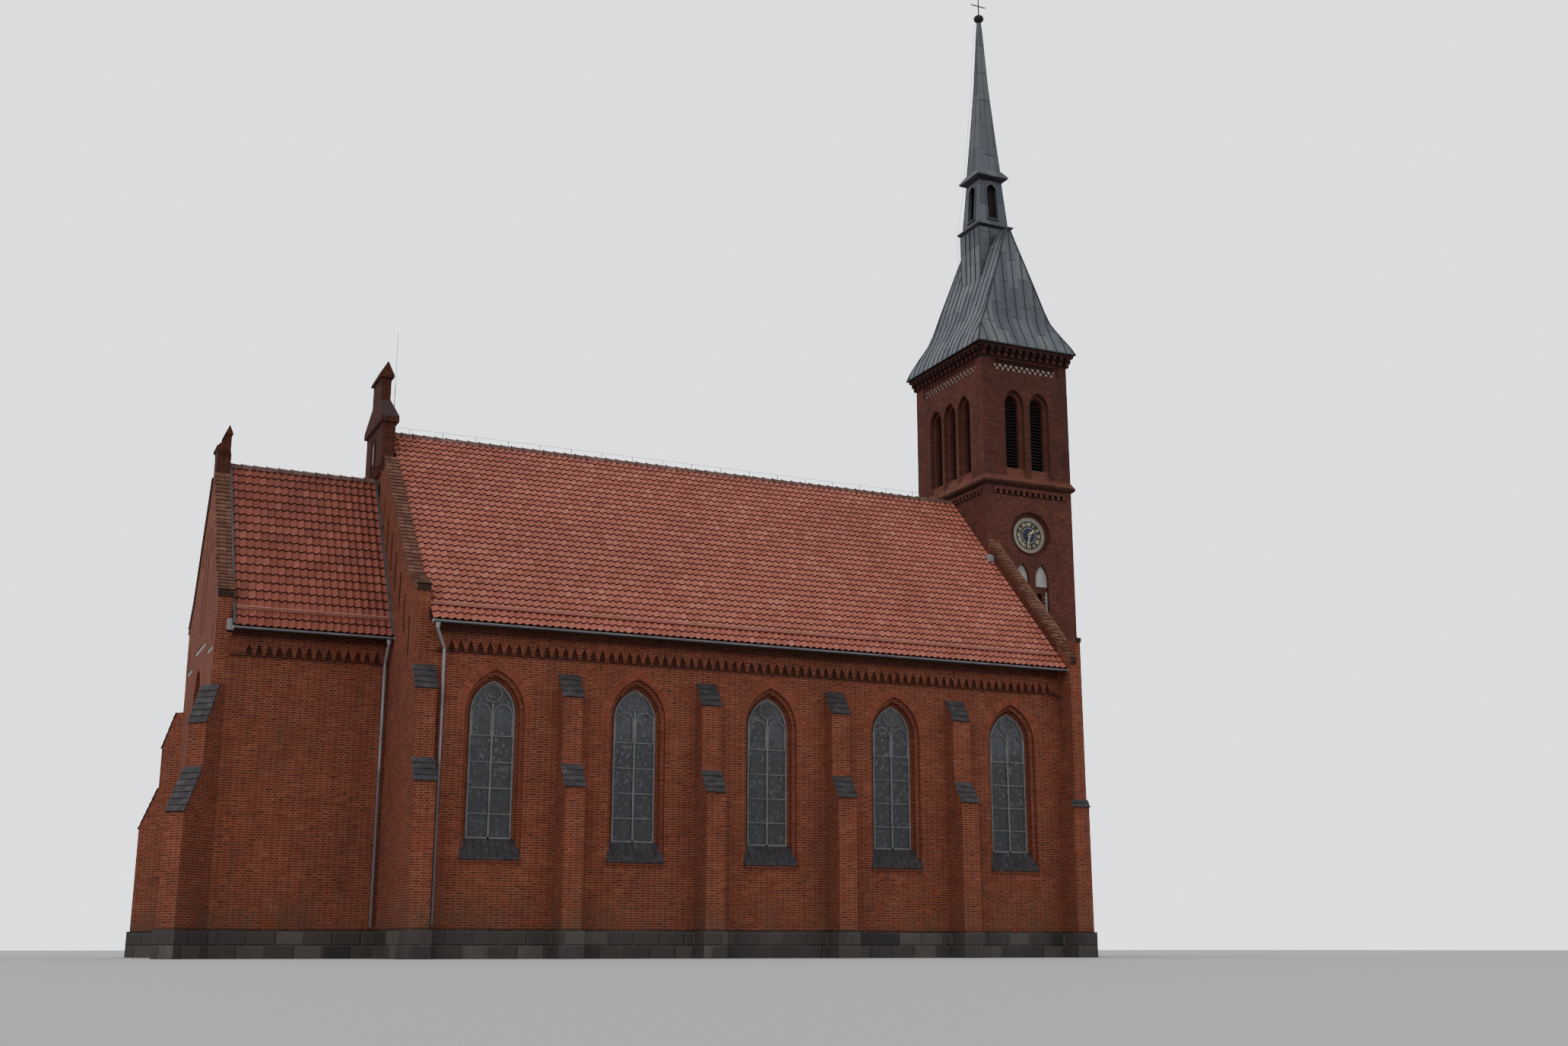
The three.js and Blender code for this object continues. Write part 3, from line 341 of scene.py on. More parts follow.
chancelBrickLook = {
    **naveBrickLook, "soot": 0.26,
    "zones": [
        *underEaves(chancelHalf, -15.8, -10.9),
        {**gableBand(chancelEast, 14.0, 3.55), "foot": 9.3},
        {"foot": 15.8, "top": 18.0, "fade": 0.3, "shadeAndDirt": 0.62},
    ],
    "tiledAbove": 15.7,
    "arches": [{"face": "x", "first": 0.0, "width": 1.9, "spring": 7.87, "rise": 1.32, "ring": 0.25}],
}
lancetRing = {"face": "y", "width": 0.93, "spring": 21.60, "rise": 0.60, "ring": 0.25}
towerBrickLook = {
    "roughness": 0.88, "jointStrength": 0.55, "soot": 0.35, "damp": 0.3,
    "tones": [
        (0.0, (0.078, 0.024, 0.016)), (0.2, (0.096, 0.028, 0.018)), (0.6, (0.110, 0.032, 0.020)),
        (0.9, (0.124, 0.038, 0.024)), (1.0, (0.148, 0.050, 0.032)),
    ],
    "mortar": [(0.15, 0.080, 0.060), (0.24, 0.15, 0.118)],
    "zones": [
        # painted shade between the teeth, under the string course, under the roof's edge and in the recess
        # above the lattice; the negative amounts paint light on the string course's top and the set-back
        # above it
        *belt(17.78, 17.94, 0.85, 0.0, 0.32),
        *belt(23.49, 23.68, 0.7, 0.06, 0.0),
        *belt(23.69, 23.84, 0.85, 0.15, 0.0),
        {"foot": 19.5, "top": 24.0, "fade": 1.5, "shadeAndDirt": 0.24, "y": (2.6, 2.75)},
        {"foot": 18.14, "top": 18.31, "shadeAndDirt": 0.5},
        {"foot": 18.34, "top": 18.56, "shadeAndDirt": -0.32},
        {"foot": 18.57, "top": 18.97, "shadeAndDirt": -0.32, "x": (12.42, 16.40), "y": (0, 2.69)},
        {"foot": 23.50, "top": 23.69, "shadeAndDirt": 0.35},
        {"foot": 23.69, "top": 24.0, "shadeAndDirt": 0.58},
        {"foot": 23.22, "top": 23.40, "shadeAndDirt": 0.6, "x": (13.0, 15.8), "y": (2.62, 2.68)},
    ],
    "sootColour": (0.04, 0.02, 0.016), "dampColour": (0.05, 0.036, 0.024),
    "arches": [
        {**lancetRing, "first": towerX - 0.59}, {**lancetRing, "first": towerX + 0.59},
        {"face": "x", "first": 0.0, "width": 2.0, "spring": 2.9, "rise": 1.5, "ring": 0.25},
    ],
}


def stoneFinish(name, look):  # squared fieldstones in light joints
    made, spot = startFinish(name, 0.85, specular=0.3)
    along, up = wallPlace(spot)
    row, fromBed = (up / look["high"] + 0.1).cells()
    stone, fromEnd = (along / look["long"] + spot.vector(row, 3.0, 1.0).chance() * 3).cells()
    wobble = spot.noise(5, 3) * look["wobble"]
    gap = (fromBed.toEdge() * look["high"]).least(fromEnd.toEdge() * look["long"]) - wobble
    colour = spot.vector(stone, row, 5.0).chance().ramp(*look["tones"])
    grain = spot.noise(22, 4)
    colour = colour.darker(0.6 + grain * 0.55 + spot.noise(3, 4) * 0.3)
    colour = colour.tint(look["joint"], (1 - gap.band(-0.008, 0.006)) * 0.55)
    moss = spot.noise(1.3, 4).band(0.55, 0.72) * (1 - up.band(0.1, 0.8)) * 0.5
    colour = colour.tint(look["moss"], moss)
    return endFinish(made, colour, spot.bump(gap.band(-0.01, 0.04) + grain * 0.3, look["relief"]))


plinthLook = {
    "high": 0.42, "long": 0.85, "wobble": 0.03, "relief": 0.02,
    "tones": [
        (0.0, (0.040, 0.034, 0.032)), (0.3, (0.068, 0.057, 0.050)), (0.6, (0.058, 0.049, 0.046)),
        (0.8, (0.092, 0.074, 0.064)), (1.0, (0.104, 0.090, 0.080)),
    ],
    "joint": (0.105, 0.090, 0.078), "moss": (0.050, 0.055, 0.026),
}


def slopeParts(roof):  # the length of a slope, and the sine and cosine of its pitch
    run, rise = roof["eaveOut"], roof["ridgeZ"] - roof["eaveZ"]
    length = math.hypot(run, rise)
    return length, rise / length, run / length


def tileSize(roof, look):  # the width of a tile and the gauge of a row
    width = (roof["west"] - roof["east"]) / look["across"]
    return width, (slopeParts(roof)[0] - look["ridgeGap"]) / look["rows"]


def tileFinish(name, roof, look):
    made, spot = startFinish(name, 0.72, specular=0.35)
    x, y, z = spot.parts()
    length, sine, cosine = slopeParts(roof)
    width, gauge = tileSize(roof, look)
    down = abs(y) * cosine + (roof["ridgeZ"] - z) * sine  # metres down the slope from the ridge
    column = ((x - roof["east"]) / width).floor()
    row, rowPlace = ((length - down) / gauge).cells()
    colour = spot.vector(column, row, y > 0).chance().ramp(*look["tones"])
    patch = spot.noise(0.35, 3).band(0.3, 0.7)
    streak = spot.stretched(3.0, 0.5, 0.5).noise(2.0, 4)
    colour = colour.darker(0.93 + patch * 0.14).darker(0.88 + streak * 0.24)
    shade = rowPlace.band(0.86, 0.97)  # painted shadow on the top of each tile, which lies under the next one's edge
    colour = colour.darker(1 - shade * 0.78)
    ny, nz = spot.facing()[1:]
    # painted shade on the faces of the tiles' lower edges, which look down the slope
    endFaceShade = (abs(ny) * cosine - nz * sine).band(0.5, 0.75)
    colour = colour.tint(look["edge"], endFaceShade)
    colour = colour.tint(tileLichen, spot.noise(9, 4).band(0.62, 0.75) * 0.22)
    return endFinish(made, colour, spot.bump(spot.noise(45, 3), 0.003), 0.62 + streak * 0.25)


tileLichen = (0.13, 0.10, 0.075)
# edge in each tile look: the colour of the painted shade on the tiles' lower edges
naveTileLook = {
    "across": 96, "rows": 32, "ridgeGap": 0.10, "edge": (0.050, 0.010, 0.006),
    "tones": [
        (0.0, (0.325, 0.092, 0.062)), (0.2, (0.368, 0.108, 0.075)), (0.8, (0.410, 0.126, 0.090)),
        (1.0, (0.460, 0.158, 0.114)),
    ],
}
chancelTileLook = {
    "across": 21, "rows": 19, "ridgeGap": 0.10, "edge": (0.045, 0.010, 0.007),
    "tones": [
        (0.0, (0.195, 0.050, 0.032)), (0.3, (0.225, 0.060, 0.039)), (0.8, (0.255, 0.071, 0.047)),
        (1.0, (0.300, 0.090, 0.062)),
    ],
}


def mottled(name, tones, roughness=0.8, metallic=0.0, scale=3.0, grain=40.0):
    made, spot = startFinish(name, roughness, metallic, 0.35)
    cloud = spot.noise(scale, 5)
    fine = spot.noise(grain, 3)
    colour = cloud.ramp(*tones).darker(0.85 + fine * 0.3)
    return endFinish(made, colour, spot.bump(fine + cloud * 0.5, 0.002), roughness - 0.1 + fine * 0.2)


def sheetFinish(name, tray):  # weathered sheets in trays with staggered cross seams
    made, spot = startFinish(name, 0.5, 0.35, 0.5)
    x, y, z = spot.parts()
    nx, ny, nz = spot.facing()
    eastWest = abs(nx) > abs(ny)
    strip = ((x - towerX) / tray["wide"] + 0.5).floor().swap((y / tray["narrow"] + 0.5).floor(), eastWest)
    offset = spot.vector(strip, eastWest, 7.0).chance()
    sheet, place = (z / tray["long"] + offset).cells()
    seam = place.toEdge() * tray["long"]
    # painted sky reflection: the slopes below roofTop lighter than the parts above it, the east and west
    # slopes lighter still
    paintedSheen = (z < tray["roofTop"]) * (tray["roofSheen"] + eastWest * tray["eastSheen"])
    colour = spot.vector(strip, sheet, eastWest).chance().ramp(*tray["tones"]).darker(tray["above"] + paintedSheen)
    wash = spot.stretched(1, 1, 0.35).noise(1.6, 5)
    colour = colour.darker(0.75 + wash * 0.5)
    stain = spot.stretched(5, 5, 0.5).noise(1.2, 4).band(0.5, 0.75) * 0.35
    colour = colour.tint(tray["stain"], stain)
    colour = colour.tint(tray["seam"], (1 - seam.band(0.008, 0.02)) * 0.8)
    # painted shade, near black, on faces that look down
    colour = colour.tint(tray["undersideShade"], nz < -0.25)
    return endFinish(made, colour, spot.bump(seam.band(0.0, 0.03) + wash * 0.5, 0.006), 0.42 + wash * 0.25)


sheetLook = {
    "wide": 0.47, "narrow": 0.40, "long": 1.35,
    # painted sheen on the roof's slopes, lighter to east and west, and painted shade on the parts above
    # roofTop
    "roofTop": 29.2, "above": 0.86, "roofSheen": 0.14, "eastSheen": 0.3,
    "tones": [
        (0.0, (0.095, 0.103, 0.115)), (0.4, (0.125, 0.132, 0.142)), (0.7, (0.14, 0.15, 0.165)),
        (1.0, (0.17, 0.172, 0.175)),
    ],
    "stain": (0.055, 0.062, 0.07), "seam": (0.045, 0.047, 0.052), "undersideShade": (0.016, 0.016, 0.018),
}


def glassFinish(name, look):  # old leaded glass in diamond quarries, with painted reflections
    made, spot = startFinish(name, 0.18, 0.0, 0.6)
    along, up = wallPlace(spot)
    z = spot.parts()[2]
    a, fromA = (along / look["wide"] + up / look["high"]).cells()
    b, fromB = (along / look["wide"] - up / look["high"]).cells()
    lead = 1 - fromA.toEdge().least(fromB.toEdge()).band(0.075, 0.12)
    chance = spot.vector(a, b, 3.0).chance()
    # painted reflection: the glass darker towards the bottom and pale patches of sky high up; each quarry's
    # tone is partly its own tint and partly painted reflection
    colour = chance.ramp(*look["tones"]).darker(0.55 + z.band(*look["reflectionFade"]) * 0.45)
    skyReflection = z.band(*look["skyReflectionFrom"]) * spot.noise(1.1, 3).band(0.36, 0.6)
    colour = colour.tint(look["skyReflection"], skyReflection * 0.75).tint(look["lead"], lead * 0.75)
    height = lead * 1.5 + chance * 0.6 + spot.noise(6, 2) * 0.6
    return endFinish(made, colour, spot.bump(height, 0.006), 0.14 + chance * 0.14 + lead * 0.4)


glassLook = {
    "wide": 0.116, "high": 0.15, "reflectionFade": (4.6, 6.6), "skyReflectionFrom": (6.2, 7.4),
    "tones": [
        (0.0, (0.006, 0.007, 0.007)), (0.4, (0.012, 0.013, 0.014)), (0.8, (0.028, 0.030, 0.032)),
        (1.0, (0.110, 0.115, 0.125)),
    ],
    "skyReflection": (0.080, 0.088, 0.102), "lead": (0.125, 0.124, 0.128),
}


def copingFinish(name, look):  # weathered clay slabs lapping down a slope
    made, spot = startFinish(name, 0.85, specular=0.25)
    x, y, z = spot.parts()
    nx, nz = spot.facing()[::2]
    half, place = (x / look["wide"]).cells()
    joint = 1 - (place.toEdge() * look["wide"]).band(0.004, 0.010)
    colour = spot.vector(half, (z / look["rise"]).floor(), y > 0).chance().ramp(*look["tones"])
    colour = colour.darker(0.80 + spot.noise(1.2, 4) * 0.4).tint(look["joint"], joint * 0.6)
    # painted shade on the slabs' lower edges, the faces that do not look up
    colour = colour.tint(look["lip"], (nz < 0.3) * (abs(nx) < 0.5) * 0.9)
    colour = colour.tint(look["lichen"], spot.noise(7, 4).band(0.58, 0.75) * 0.3)
    return endFinish(made, colour, spot.bump(spot.noise(30, 2) * 0.4 - joint, 0.005))


copingLook = {
    "wide": 0.25, "rise": 0.152,
    "tones": [(0.0, (0.115, 0.047, 0.028)), (0.5, (0.150, 0.064, 0.039)), (1.0, (0.200, 0.096, 0.062))],
    # lip: the colour of the painted shade on the slabs' edges
    "joint": (0.045, 0.024, 0.018), "lip": (0.030, 0.014, 0.010), "lichen": (0.13, 0.095, 0.068),
}


def plankFinish(name, tones, board):
    made, spot = startFinish(name, 0.75, specular=0.3)
    plank, fromSide = (wallPlace(spot)[0] / board).cells()
    gap = 1 - (fromSide.toEdge() * board).band(0.002, 0.008)
    chance = spot.vector(plank, 2.0, 5.0).chance()
    grain = spot.stretched(14, 14, 0.8).noise(2.0, 5)
    colour = (chance * 0.6 + grain * 0.4).ramp(*tones).tint((0.012, 0.009, 0.007), gap)
    return endFinish(made, colour, spot.bump(grain - gap * 2, 0.003), 0.6 + grain * 0.3)


def slateFinish(name, look):  # ribbed blue-grey tiles with black gaps between their ribs
    made, spot = startFinish(name, 0.7, specular=0.35)
    cloud = spot.noise(4.0, 4)
    fine = spot.noise(40, 3)
    colour = cloud.ramp(*look["tones"]).darker(0.8 + fine * 0.4)
    gap = 1 - (wallPlace(spot)[0] / look["rib"]).cells()[1].toEdge().band(0.08, 0.24)
    colour = colour.tint(look["gap"], gap * 0.75)
    # painted shade on every face that does not look up
    colour = colour.tint(look["edge"], (spot.facing()[2] < 0.3) * 0.85)
    return endFinish(made, colour, spot.bump(fine + cloud * 0.5, 0.002), 0.6 + fine * 0.2)


slateLook = {
    # edge: the colour of that painted shade
    "rib": 0.09, "gap": (0.020, 0.017, 0.018), "edge": (0.012, 0.010, 0.011),
    "tones": [(0.3, (0.045, 0.037, 0.040)), (0.55, (0.068, 0.057, 0.060)), (0.75, (0.120, 0.104, 0.104))],
}


def gutterFinish(name, look):  # sheet zinc with painted shade, nearly black, underneath, and paler in the newer upper lengths
    made, spot = startFinish(name, 0.5, 0.25, 0.5)
    z, nz = spot.parts()[2], spot.facing()[2]
    cloud = spot.noise(1.5, 4)
    # painted shade, near black, on the gutter faces that look down
    under = (1 - nz.band(-0.75, -0.05)) * (z > look["gutterZ"])
    colour = cloud.ramp(*look["tones"]).tint(look["under"], under * 0.95)
    colour = colour.tint(look["old"], (1 - z.band(*look["newFrom"])) * 0.7)
    return endFinish(made, colour, spot.bump(cloud, 0.003), 0.4 + cloud * 0.25)


zincLook = {
    # under: the colour of that painted shade
    "gutterZ": 9.78, "newFrom": (5.6, 5.9), "under": (0.020, 0.016, 0.014), "old": (0.105, 0.085, 0.085),
    "tones": [(0.3, (0.235, 0.215, 0.220)), (0.7, (0.345, 0.320, 0.325))],
}


def dialFinish(name, dial):  # a cream rim with thin lines, a black chapter ring and a blue middle
    made, spot = startFinish(name, 0.5)
    x, z = spot.parts()[::2]
    reach = (x - dial["x"]).length(z - dial["z"])
    cloud = spot.noise(7, 4)
    colour = cloud.ramp(*dial["rim"])
    for middle, half, tone in dial["lines"]:
        colour = colour.tint(tone, abs(reach - middle) < half)
    colour = colour.tint(cloud.ramp(*dial["ring"]), reach < dial["rimInner"])
    colour = colour.tint(dial["cream"], (reach < dial["middle"] + dial["line"]) * (reach > dial["middle"]))
    colour = colour.tint(cloud.ramp(*dial["blue"]), reach < dial["middle"])
    return endFinish(made, colour, spot.bump(cloud, 0.001), 0.4 + cloud * 0.2)


dial = {
    "x": 14.41, "z": 16.23, "rimInner": 0.60, "middle": 0.30, "line": 0.020,
    "face": 0.18 - 0.03 - towerHalf["y"],  # the recess less the dial's own thickness
    "cream": (0.42, 0.37, 0.27), "rim": [(0.3, (0.150, 0.128, 0.096)), (0.7, (0.205, 0.178, 0.138))],
    "ring": [(0.3, (0.012, 0.012, 0.013)), (0.7, (0.026, 0.025, 0.025))],
    "blue": [(0.3, (0.010, 0.012, 0.036)), (0.7, (0.018, 0.021, 0.058))],
}
dial["lines"] = [  # how far out, half its width, its colour
    (0.645, 0.008, (0.06, 0.05, 0.038)), (0.612, 0.016, dial["cream"]), (0.672, 0.008, dial["cream"]),
]


print("finishes")
naveBrick = brickFinish("nave_brick", naveBrickLook)
chancelBrick = brickFinish("chancel_brick", chancelBrickLook)
towerBrick = brickFinish("tower_brick", towerBrickLook)
fieldstone = stoneFinish("squared_fieldstone", plinthLook)
naveTiles = tileFinish("nave_pantiles", naveRoof, naveTileLook)
chancelTiles = tileFinish("chancel_pantiles", chancelRoof, chancelTileLook)
ridgeClay = mottled(
    "ridge_clay", [(0.3, (0.11, 0.062, 0.050)), (0.55, (0.16, 0.085, 0.068)), (0.75, (0.24, 0.150, 0.125))],
)
copingClay = copingFinish("coping_clay", copingLook)
slateTile = slateFinish("blue_grey_tiles", slateLook)
sillTile = mottled(
    "sill_tiles",
    [(0.3, (0.026, 0.022, 0.024)), (0.55, (0.042, 0.037, 0.040)), (0.75, (0.075, 0.068, 0.068))],
    0.65, scale=5.0,
)
roofSheet = sheetFinish("zinc_trays", sheetLook)
seamMetal = mottled("seam_metal", [(0.3, (0.026, 0.028, 0.031)), (0.7, (0.052, 0.056, 0.062))], 0.55, 0.35)
zincPale = gutterFinish("gutter_zinc", zincLook)
railClay = mottled("rail_clay", [(0.3, (0.40, 0.165, 0.130)), (0.7, (0.52, 0.24, 0.19))], 0.7)
leadSheet = mottled("lead_sheet", [(0.3, (0.050, 0.050, 0.053)), (0.7, (0.095, 0.095, 0.10))], 0.6, 0.2)
# painted shade: the roof body under the tiles, near black where it shows between and below them
roofUnderShade = mottled("painted_shade_under_tiles", [(0.3, (0.012, 0.007, 0.005)), (0.7, (0.024, 0.013, 0.010))], 0.9)
leadedGlass = glassFinish("leaded_glass", glassLook)
windowBar = mottled("window_bars", [(0.3, (0.120, 0.115, 0.112)), (0.7, (0.185, 0.178, 0.172))], 0.6)
plaster = mottled("lime_plaster", [(0.3, (0.30, 0.28, 0.255)), (0.7, (0.42, 0.40, 0.37))], 0.9, grain=18.0)
darkIron = mottled("dark_iron", [(0.3, (0.018, 0.018, 0.02)), (0.7, (0.035, 0.033, 0.033))], 0.55, 0.6)
darkBoards = plankFinish("dark_boards", [(0.2, (0.010, 0.008, 0.007)), (0.8, (0.030, 0.024, 0.020))], 0.16)
doorOak = plankFinish("door_oak", [(0.2, (0.030, 0.017, 0.010)), (0.8, (0.085, 0.048, 0.026))], 0.14)
floorTile = mottled("floor_tiles", [(0.3, (0.20, 0.18, 0.16)), (0.7, (0.30, 0.28, 0.25))], 0.7)
stepStone = mottled("step_stone", [(0.3, (0.15, 0.15, 0.145)), (0.7, (0.27, 0.265, 0.255))], 0.85, grain=60.0)
gilding = mottled("old_gilding", [(0.3, (0.50, 0.41, 0.22)), (0.7, (0.68, 0.58, 0.36))], 0.45, 0.35)
clockPaint = dialFinish("clock_paint", dial)

nodeFinish = {  # for each node, by how its name starts
    "nave_plinth": fieldstone, "chancel_plinth": fieldstone, "tower_plinth": fieldstone,
    "nave_floor": floorTile, "chancel_floor": floorTile, "tower_floor": floorTile,
    "nave_wall": naveBrick, "nave_east_gable": naveBrick, "nave_west_gable": naveBrick,
    "chancel_wall": chancelBrick, "chancel_east_gable": chancelBrick,
    "nave_window": leadedGlass, "chancel_window": leadedGlass,
    "nave_roof": roofUnderShade, "chancel_roof": roofUnderShade, "nave_ridge": ridgeClay, "chancel_ridge": ridgeClay,
    "nave_east_coping": copingClay, "nave_west_coping": copingClay, "chancel_coping": copingClay,
    "nave_gutter": zincPale, "chancel_gutter": zincPale,
    "tower_shaft": towerBrick, "tower_belfry": towerBrick,
    "belfry_floor": darkBoards, "belfry_louvres": darkBoards, "west_door": doorOak, "west_steps": stepStone,
    "tower_roof": roofSheet, "roof_shaft": roofSheet, "lantern": roofSheet, "spire": roofSheet,
    "lantern_core": darkBoards,
    "finial_cross": darkIron, "clock_dial": clockPaint, "hour_hand": gilding, "minute_hand": gilding,
}
for nodeName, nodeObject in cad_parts.items():
    key = max((k for k in nodeFinish if nodeName.startswith(k)), key=len)
    nodeObject.data.materials.clear()
    nodeObject.data.materials.append(nodeFinish[key])


# Modelling

hair = 0.001  # a tolerance in metres
square = 0.9  # a normal's least share along an axis, for a face that looks that way


def deselect():
    bpy.ops.object.select_all(action="DESELECT")


def only(piece):  # the one selected and active object
    deselect()
    piece.select_set(True)
    bpy.context.view_layer.objects.active = piece
    return piece


def setPlace(piece):
    only(piece)
    bpy.ops.object.transform_apply(location=True, rotation=True, scale=True)
    return piece


def block(low, high):
    deselect()
    size = Vector(high) - Vector(low)
    bpy.ops.mesh.primitive_cube_add(size=1, location=(Vector(low) + Vector(high)) / 2, scale=size)
    return setPlace(bpy.context.object)


def pick(piece, test, kind="faces"):  # in edit mode: select what passes the test
    shape = bmesh.from_edit_mesh(piece.data)
    for group in (shape.verts, shape.edges, shape.faces):
        for part in group:
            part.select_set(False)
    for part in getattr(shape, kind):
        if test(part):
            part.select_set(True)
    shape.select_flush(True)
    bmesh.update_edit_mesh(piece.data)


def editing(piece, kind="FACE"):  # in edit mode with all of it selected
    only(piece)
    bpy.ops.object.mode_set(mode="EDIT")
    bpy.ops.mesh.select_mode(type=kind)
    bpy.ops.mesh.select_all(action="SELECT")


def doneEditing():
    bpy.ops.object.mode_set(mode="OBJECT")


def extrude(way):
    bpy.ops.mesh.extrude_region_move(TRANSFORM_OT_translate={"value": way})


def useModifier(piece, kind, **settings):
    only(piece)
    added = piece.modifiers.new("step", kind)
    for key, value in settings.items():
        setattr(added, key, value)
    bpy.ops.object.modifier_apply(modifier=added.name)
    return piece


def row(piece, count, step):
    return useModifier(
        piece, "ARRAY", count=count, use_relative_offset=False, use_constant_offset=True,
        constant_offset_displace=step,
    )


def bevelled(piece, width, segments=1):
    return useModifier(piece, "BEVEL", width=width, segments=segments, limit_method="ANGLE")


def copyOf(piece, matrix):
    only(piece)
    bpy.ops.object.duplicate(linked=False)
    made = bpy.context.object
    made.data.transform(matrix)
    if matrix.determinant() < 0:
        made.data.flip_normals()
    return made


def toNorth(piece):
    return copyOf(piece, Matrix.Scale(-1, 4, (0, 1, 0)))


def joined(pieces):
    only(pieces[0])
    for piece in pieces[1:]:
        piece.select_set(True)
    bpy.ops.object.join()
    return bpy.context.object


def barAlong(points, wide, tall, sides=4, facing=(0, 0, 1)):  # a bar pushed from point to point
    deselect()
    points = [Vector(p) for p in points]
    turn = Vector(facing).to_track_quat("Z", "Y").to_euler()
    if sides == 4:
        bpy.ops.mesh.primitive_plane_add(size=1, location=points[0], rotation=turn)
    else:
        bpy.ops.mesh.primitive_circle_add(
            vertices=sides, radius=0.5, fill_type="NGON", location=points[0], rotation=turn,
        )
    bar = bpy.context.object
    bar.scale = (wide, tall, 1)
    setPlace(bar)
    editing(bar)
    for start, end in zip(points, points[1:]):
        extrude(end - start)
    bpy.ops.mesh.select_all(action="SELECT")
    bpy.ops.mesh.normals_make_consistent(inside=False)
    doneEditing()
    return bar


def rod(start, end, thick, sides=6, facing=(0, 0, 1)):
    return barAlong([start, end], thick, thick, sides, facing)


def faceEast(x, z=0):  # turns a piece that was drawn for a south face, and sets it against an east one
    return Matrix.Translation((x, 0, z)) @ Matrix.Rotation(-math.pi / 2, 4, "Z")


def settle(piece, name, finish, replaced=()):
    setPlace(piece)
    piece.name = name
    piece.data.name = name
    piece.data.transform(Matrix.Scale(modelScale, 4))
    piece.data.materials.clear()
    piece.data.materials.append(finish)
    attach(piece, "church")
    if replaced:
        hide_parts(*replaced)
    return piece


def settlePair(piece, name, finish):  # the piece and its copy on the north side
    other = toNorth(setPlace(piece))
    settle(piece, name + "_south", finish)
    settle(other, name + "_north", finish)


# Pantiles

tile = {
    "profile": (0.022, 0.006, 0.0, 0.0, 0.006, 0.020, 0.042, 0.058, 0.056, 0.036),
    "lift": 0.036, "lip": 0.026, "seamStep": 0.013, "base": 0.004,
}


def openSide(edge, x, z):  # an open edge beyond x and above z
    return len(edge.link_faces) == 1 and all(v.co.x > x and v.co.z > z for v in edge.verts)


def oneTile(width, gauge, look):  # lies in the plane: x along the ridge, y up the slope
    columns = len(look["profile"]) - 1
    deselect()
    bpy.ops.mesh.primitive_grid_add(
        x_subdivisions=columns, y_subdivisions=1, size=1, location=(width / 2, gauge / 2, 0),
    )
    made = bpy.context.object
    made.scale = (width, gauge, 1)
    setPlace(made)
    editing(made, "VERT")
    for i, height in enumerate(look["profile"]):
        pick(made, lambda v: abs(v.co.x - width * i / columns) < width / columns / 3, "verts")
        bpy.ops.transform.translate(value=(0, 0, height))
    pick(made, lambda v: v.co.y < gauge / 2, "verts")
    bpy.ops.transform.translate(value=(0, 0, look["lift"]))
    bpy.ops.mesh.select_mode(type="EDGE")
    pick(made, lambda e: all(v.co.y < gauge / 2 for v in e.verts), "edges")
    extrude((0, 0, -look["lip"]))
    if look["seamStep"]:  # the side edge that laps the next tile
        top = look["profile"][-1] - hair
        pick(made, lambda e: openSide(e, width - hair, top), "edges")
        extrude((0, 0, -look["seamStep"]))
    doneEditing()
    return made


def tileField(roof, look):
    sine, cosine = slopeParts(roof)[1:]
    width, gauge = tileSize(roof, look)
    field = oneTile(width, gauge, tile)
    row(field, look["across"], (width, 0, 0))
    row(field, look["rows"], (0, gauge, 0))
    field.rotation_euler = (math.atan2(sine, cosine), 0, 0)
    out = Vector((0, -sine, cosine)) * tile["base"]
    field.location = Vector((roof["east"], -roof["eaveOut"], roof["eaveZ"])) + out
    return setPlace(field)


print("pantiles")
settlePair(tileField(naveRoof, naveTileLook), "nave_tiles", naveTiles)
settlePair(tileField(chancelRoof, chancelTileLook), "chancel_tiles", chancelTiles)


# Ridge tiles

ridge = {
    "long": 0.40, "wide": 0.19, "narrow": 0.165, "drop": 0.105, "sides": 14, "collar": 0.045, "flare": 1.16,
    "cut": -0.02,
}


def ridgeRow(roof):  # tapering half-round caps with a raised collar, each over the next
    count = round((roof["west"] - roof["east"]) / ridge["long"])
    step = (roof["west"] - roof["east"]) / count
    deselect()
    bpy.ops.mesh.primitive_cone_add(
        vertices=ridge["sides"], radius1=ridge["wide"], radius2=ridge["narrow"], depth=step,
        end_fill_type="NGON", location=(step / 2, 0, 0), rotation=(0, math.pi / 2, 0),
    )
    cap = setPlace(bpy.context.object)
    editing(cap)
    bpy.ops.mesh.bisect(plane_co=(0, 0, ridge["cut"]), plane_no=(0, 0, 1), clear_inner=True, use_fill=True)
    pick(cap, lambda f: f.normal.x < -square)
    extrude((-ridge["collar"], 0, 0))
    bpy.ops.transform.resize(value=(1, ridge["flare"], ridge["flare"]), center_override=(0, 0, 0))
    doneEditing()
    row(cap, count, (step, 0, 0))
    cap.location = (roof["east"], 0, roof["ridgeZ"] - ridge["drop"])
    return setPlace(cap)


print("ridge tiles")
settle(ridgeRow(naveRoof), "nave_ridge_tiles", ridgeClay, replaced=["nave_ridge"])
settle(ridgeRow(chancelRoof), "chancel_ridge_tiles", ridgeClay, replaced=["chancel_ridge"])


# Windows

window = {
    "width": 1.42, "foot": 3.53, "spring": 7.36, "rise": 1.0, "face": -6.79, "rim": 0.055, "depth": 0.05,
    "mullion": 0.06, "mullionUp": 0.3, "bars": (4.28, 5.06, 5.85, 6.66), "bar": 0.034, "barDepth": 0.035,
    "head": 0.62, "headRim": 0.035, "headFoot": 0.7, "headDrop": 0.03, "headDepth": 0.04,
    "eye": 0.275, "eyeZ": 7.97, "eyeRim": 0.022, "foil": 0.37, "foilOut": 0.52, "foilRim": 0.009,
    "foilIn": 0.02, "lift": 0.51, "eastFace": -15.94,
}


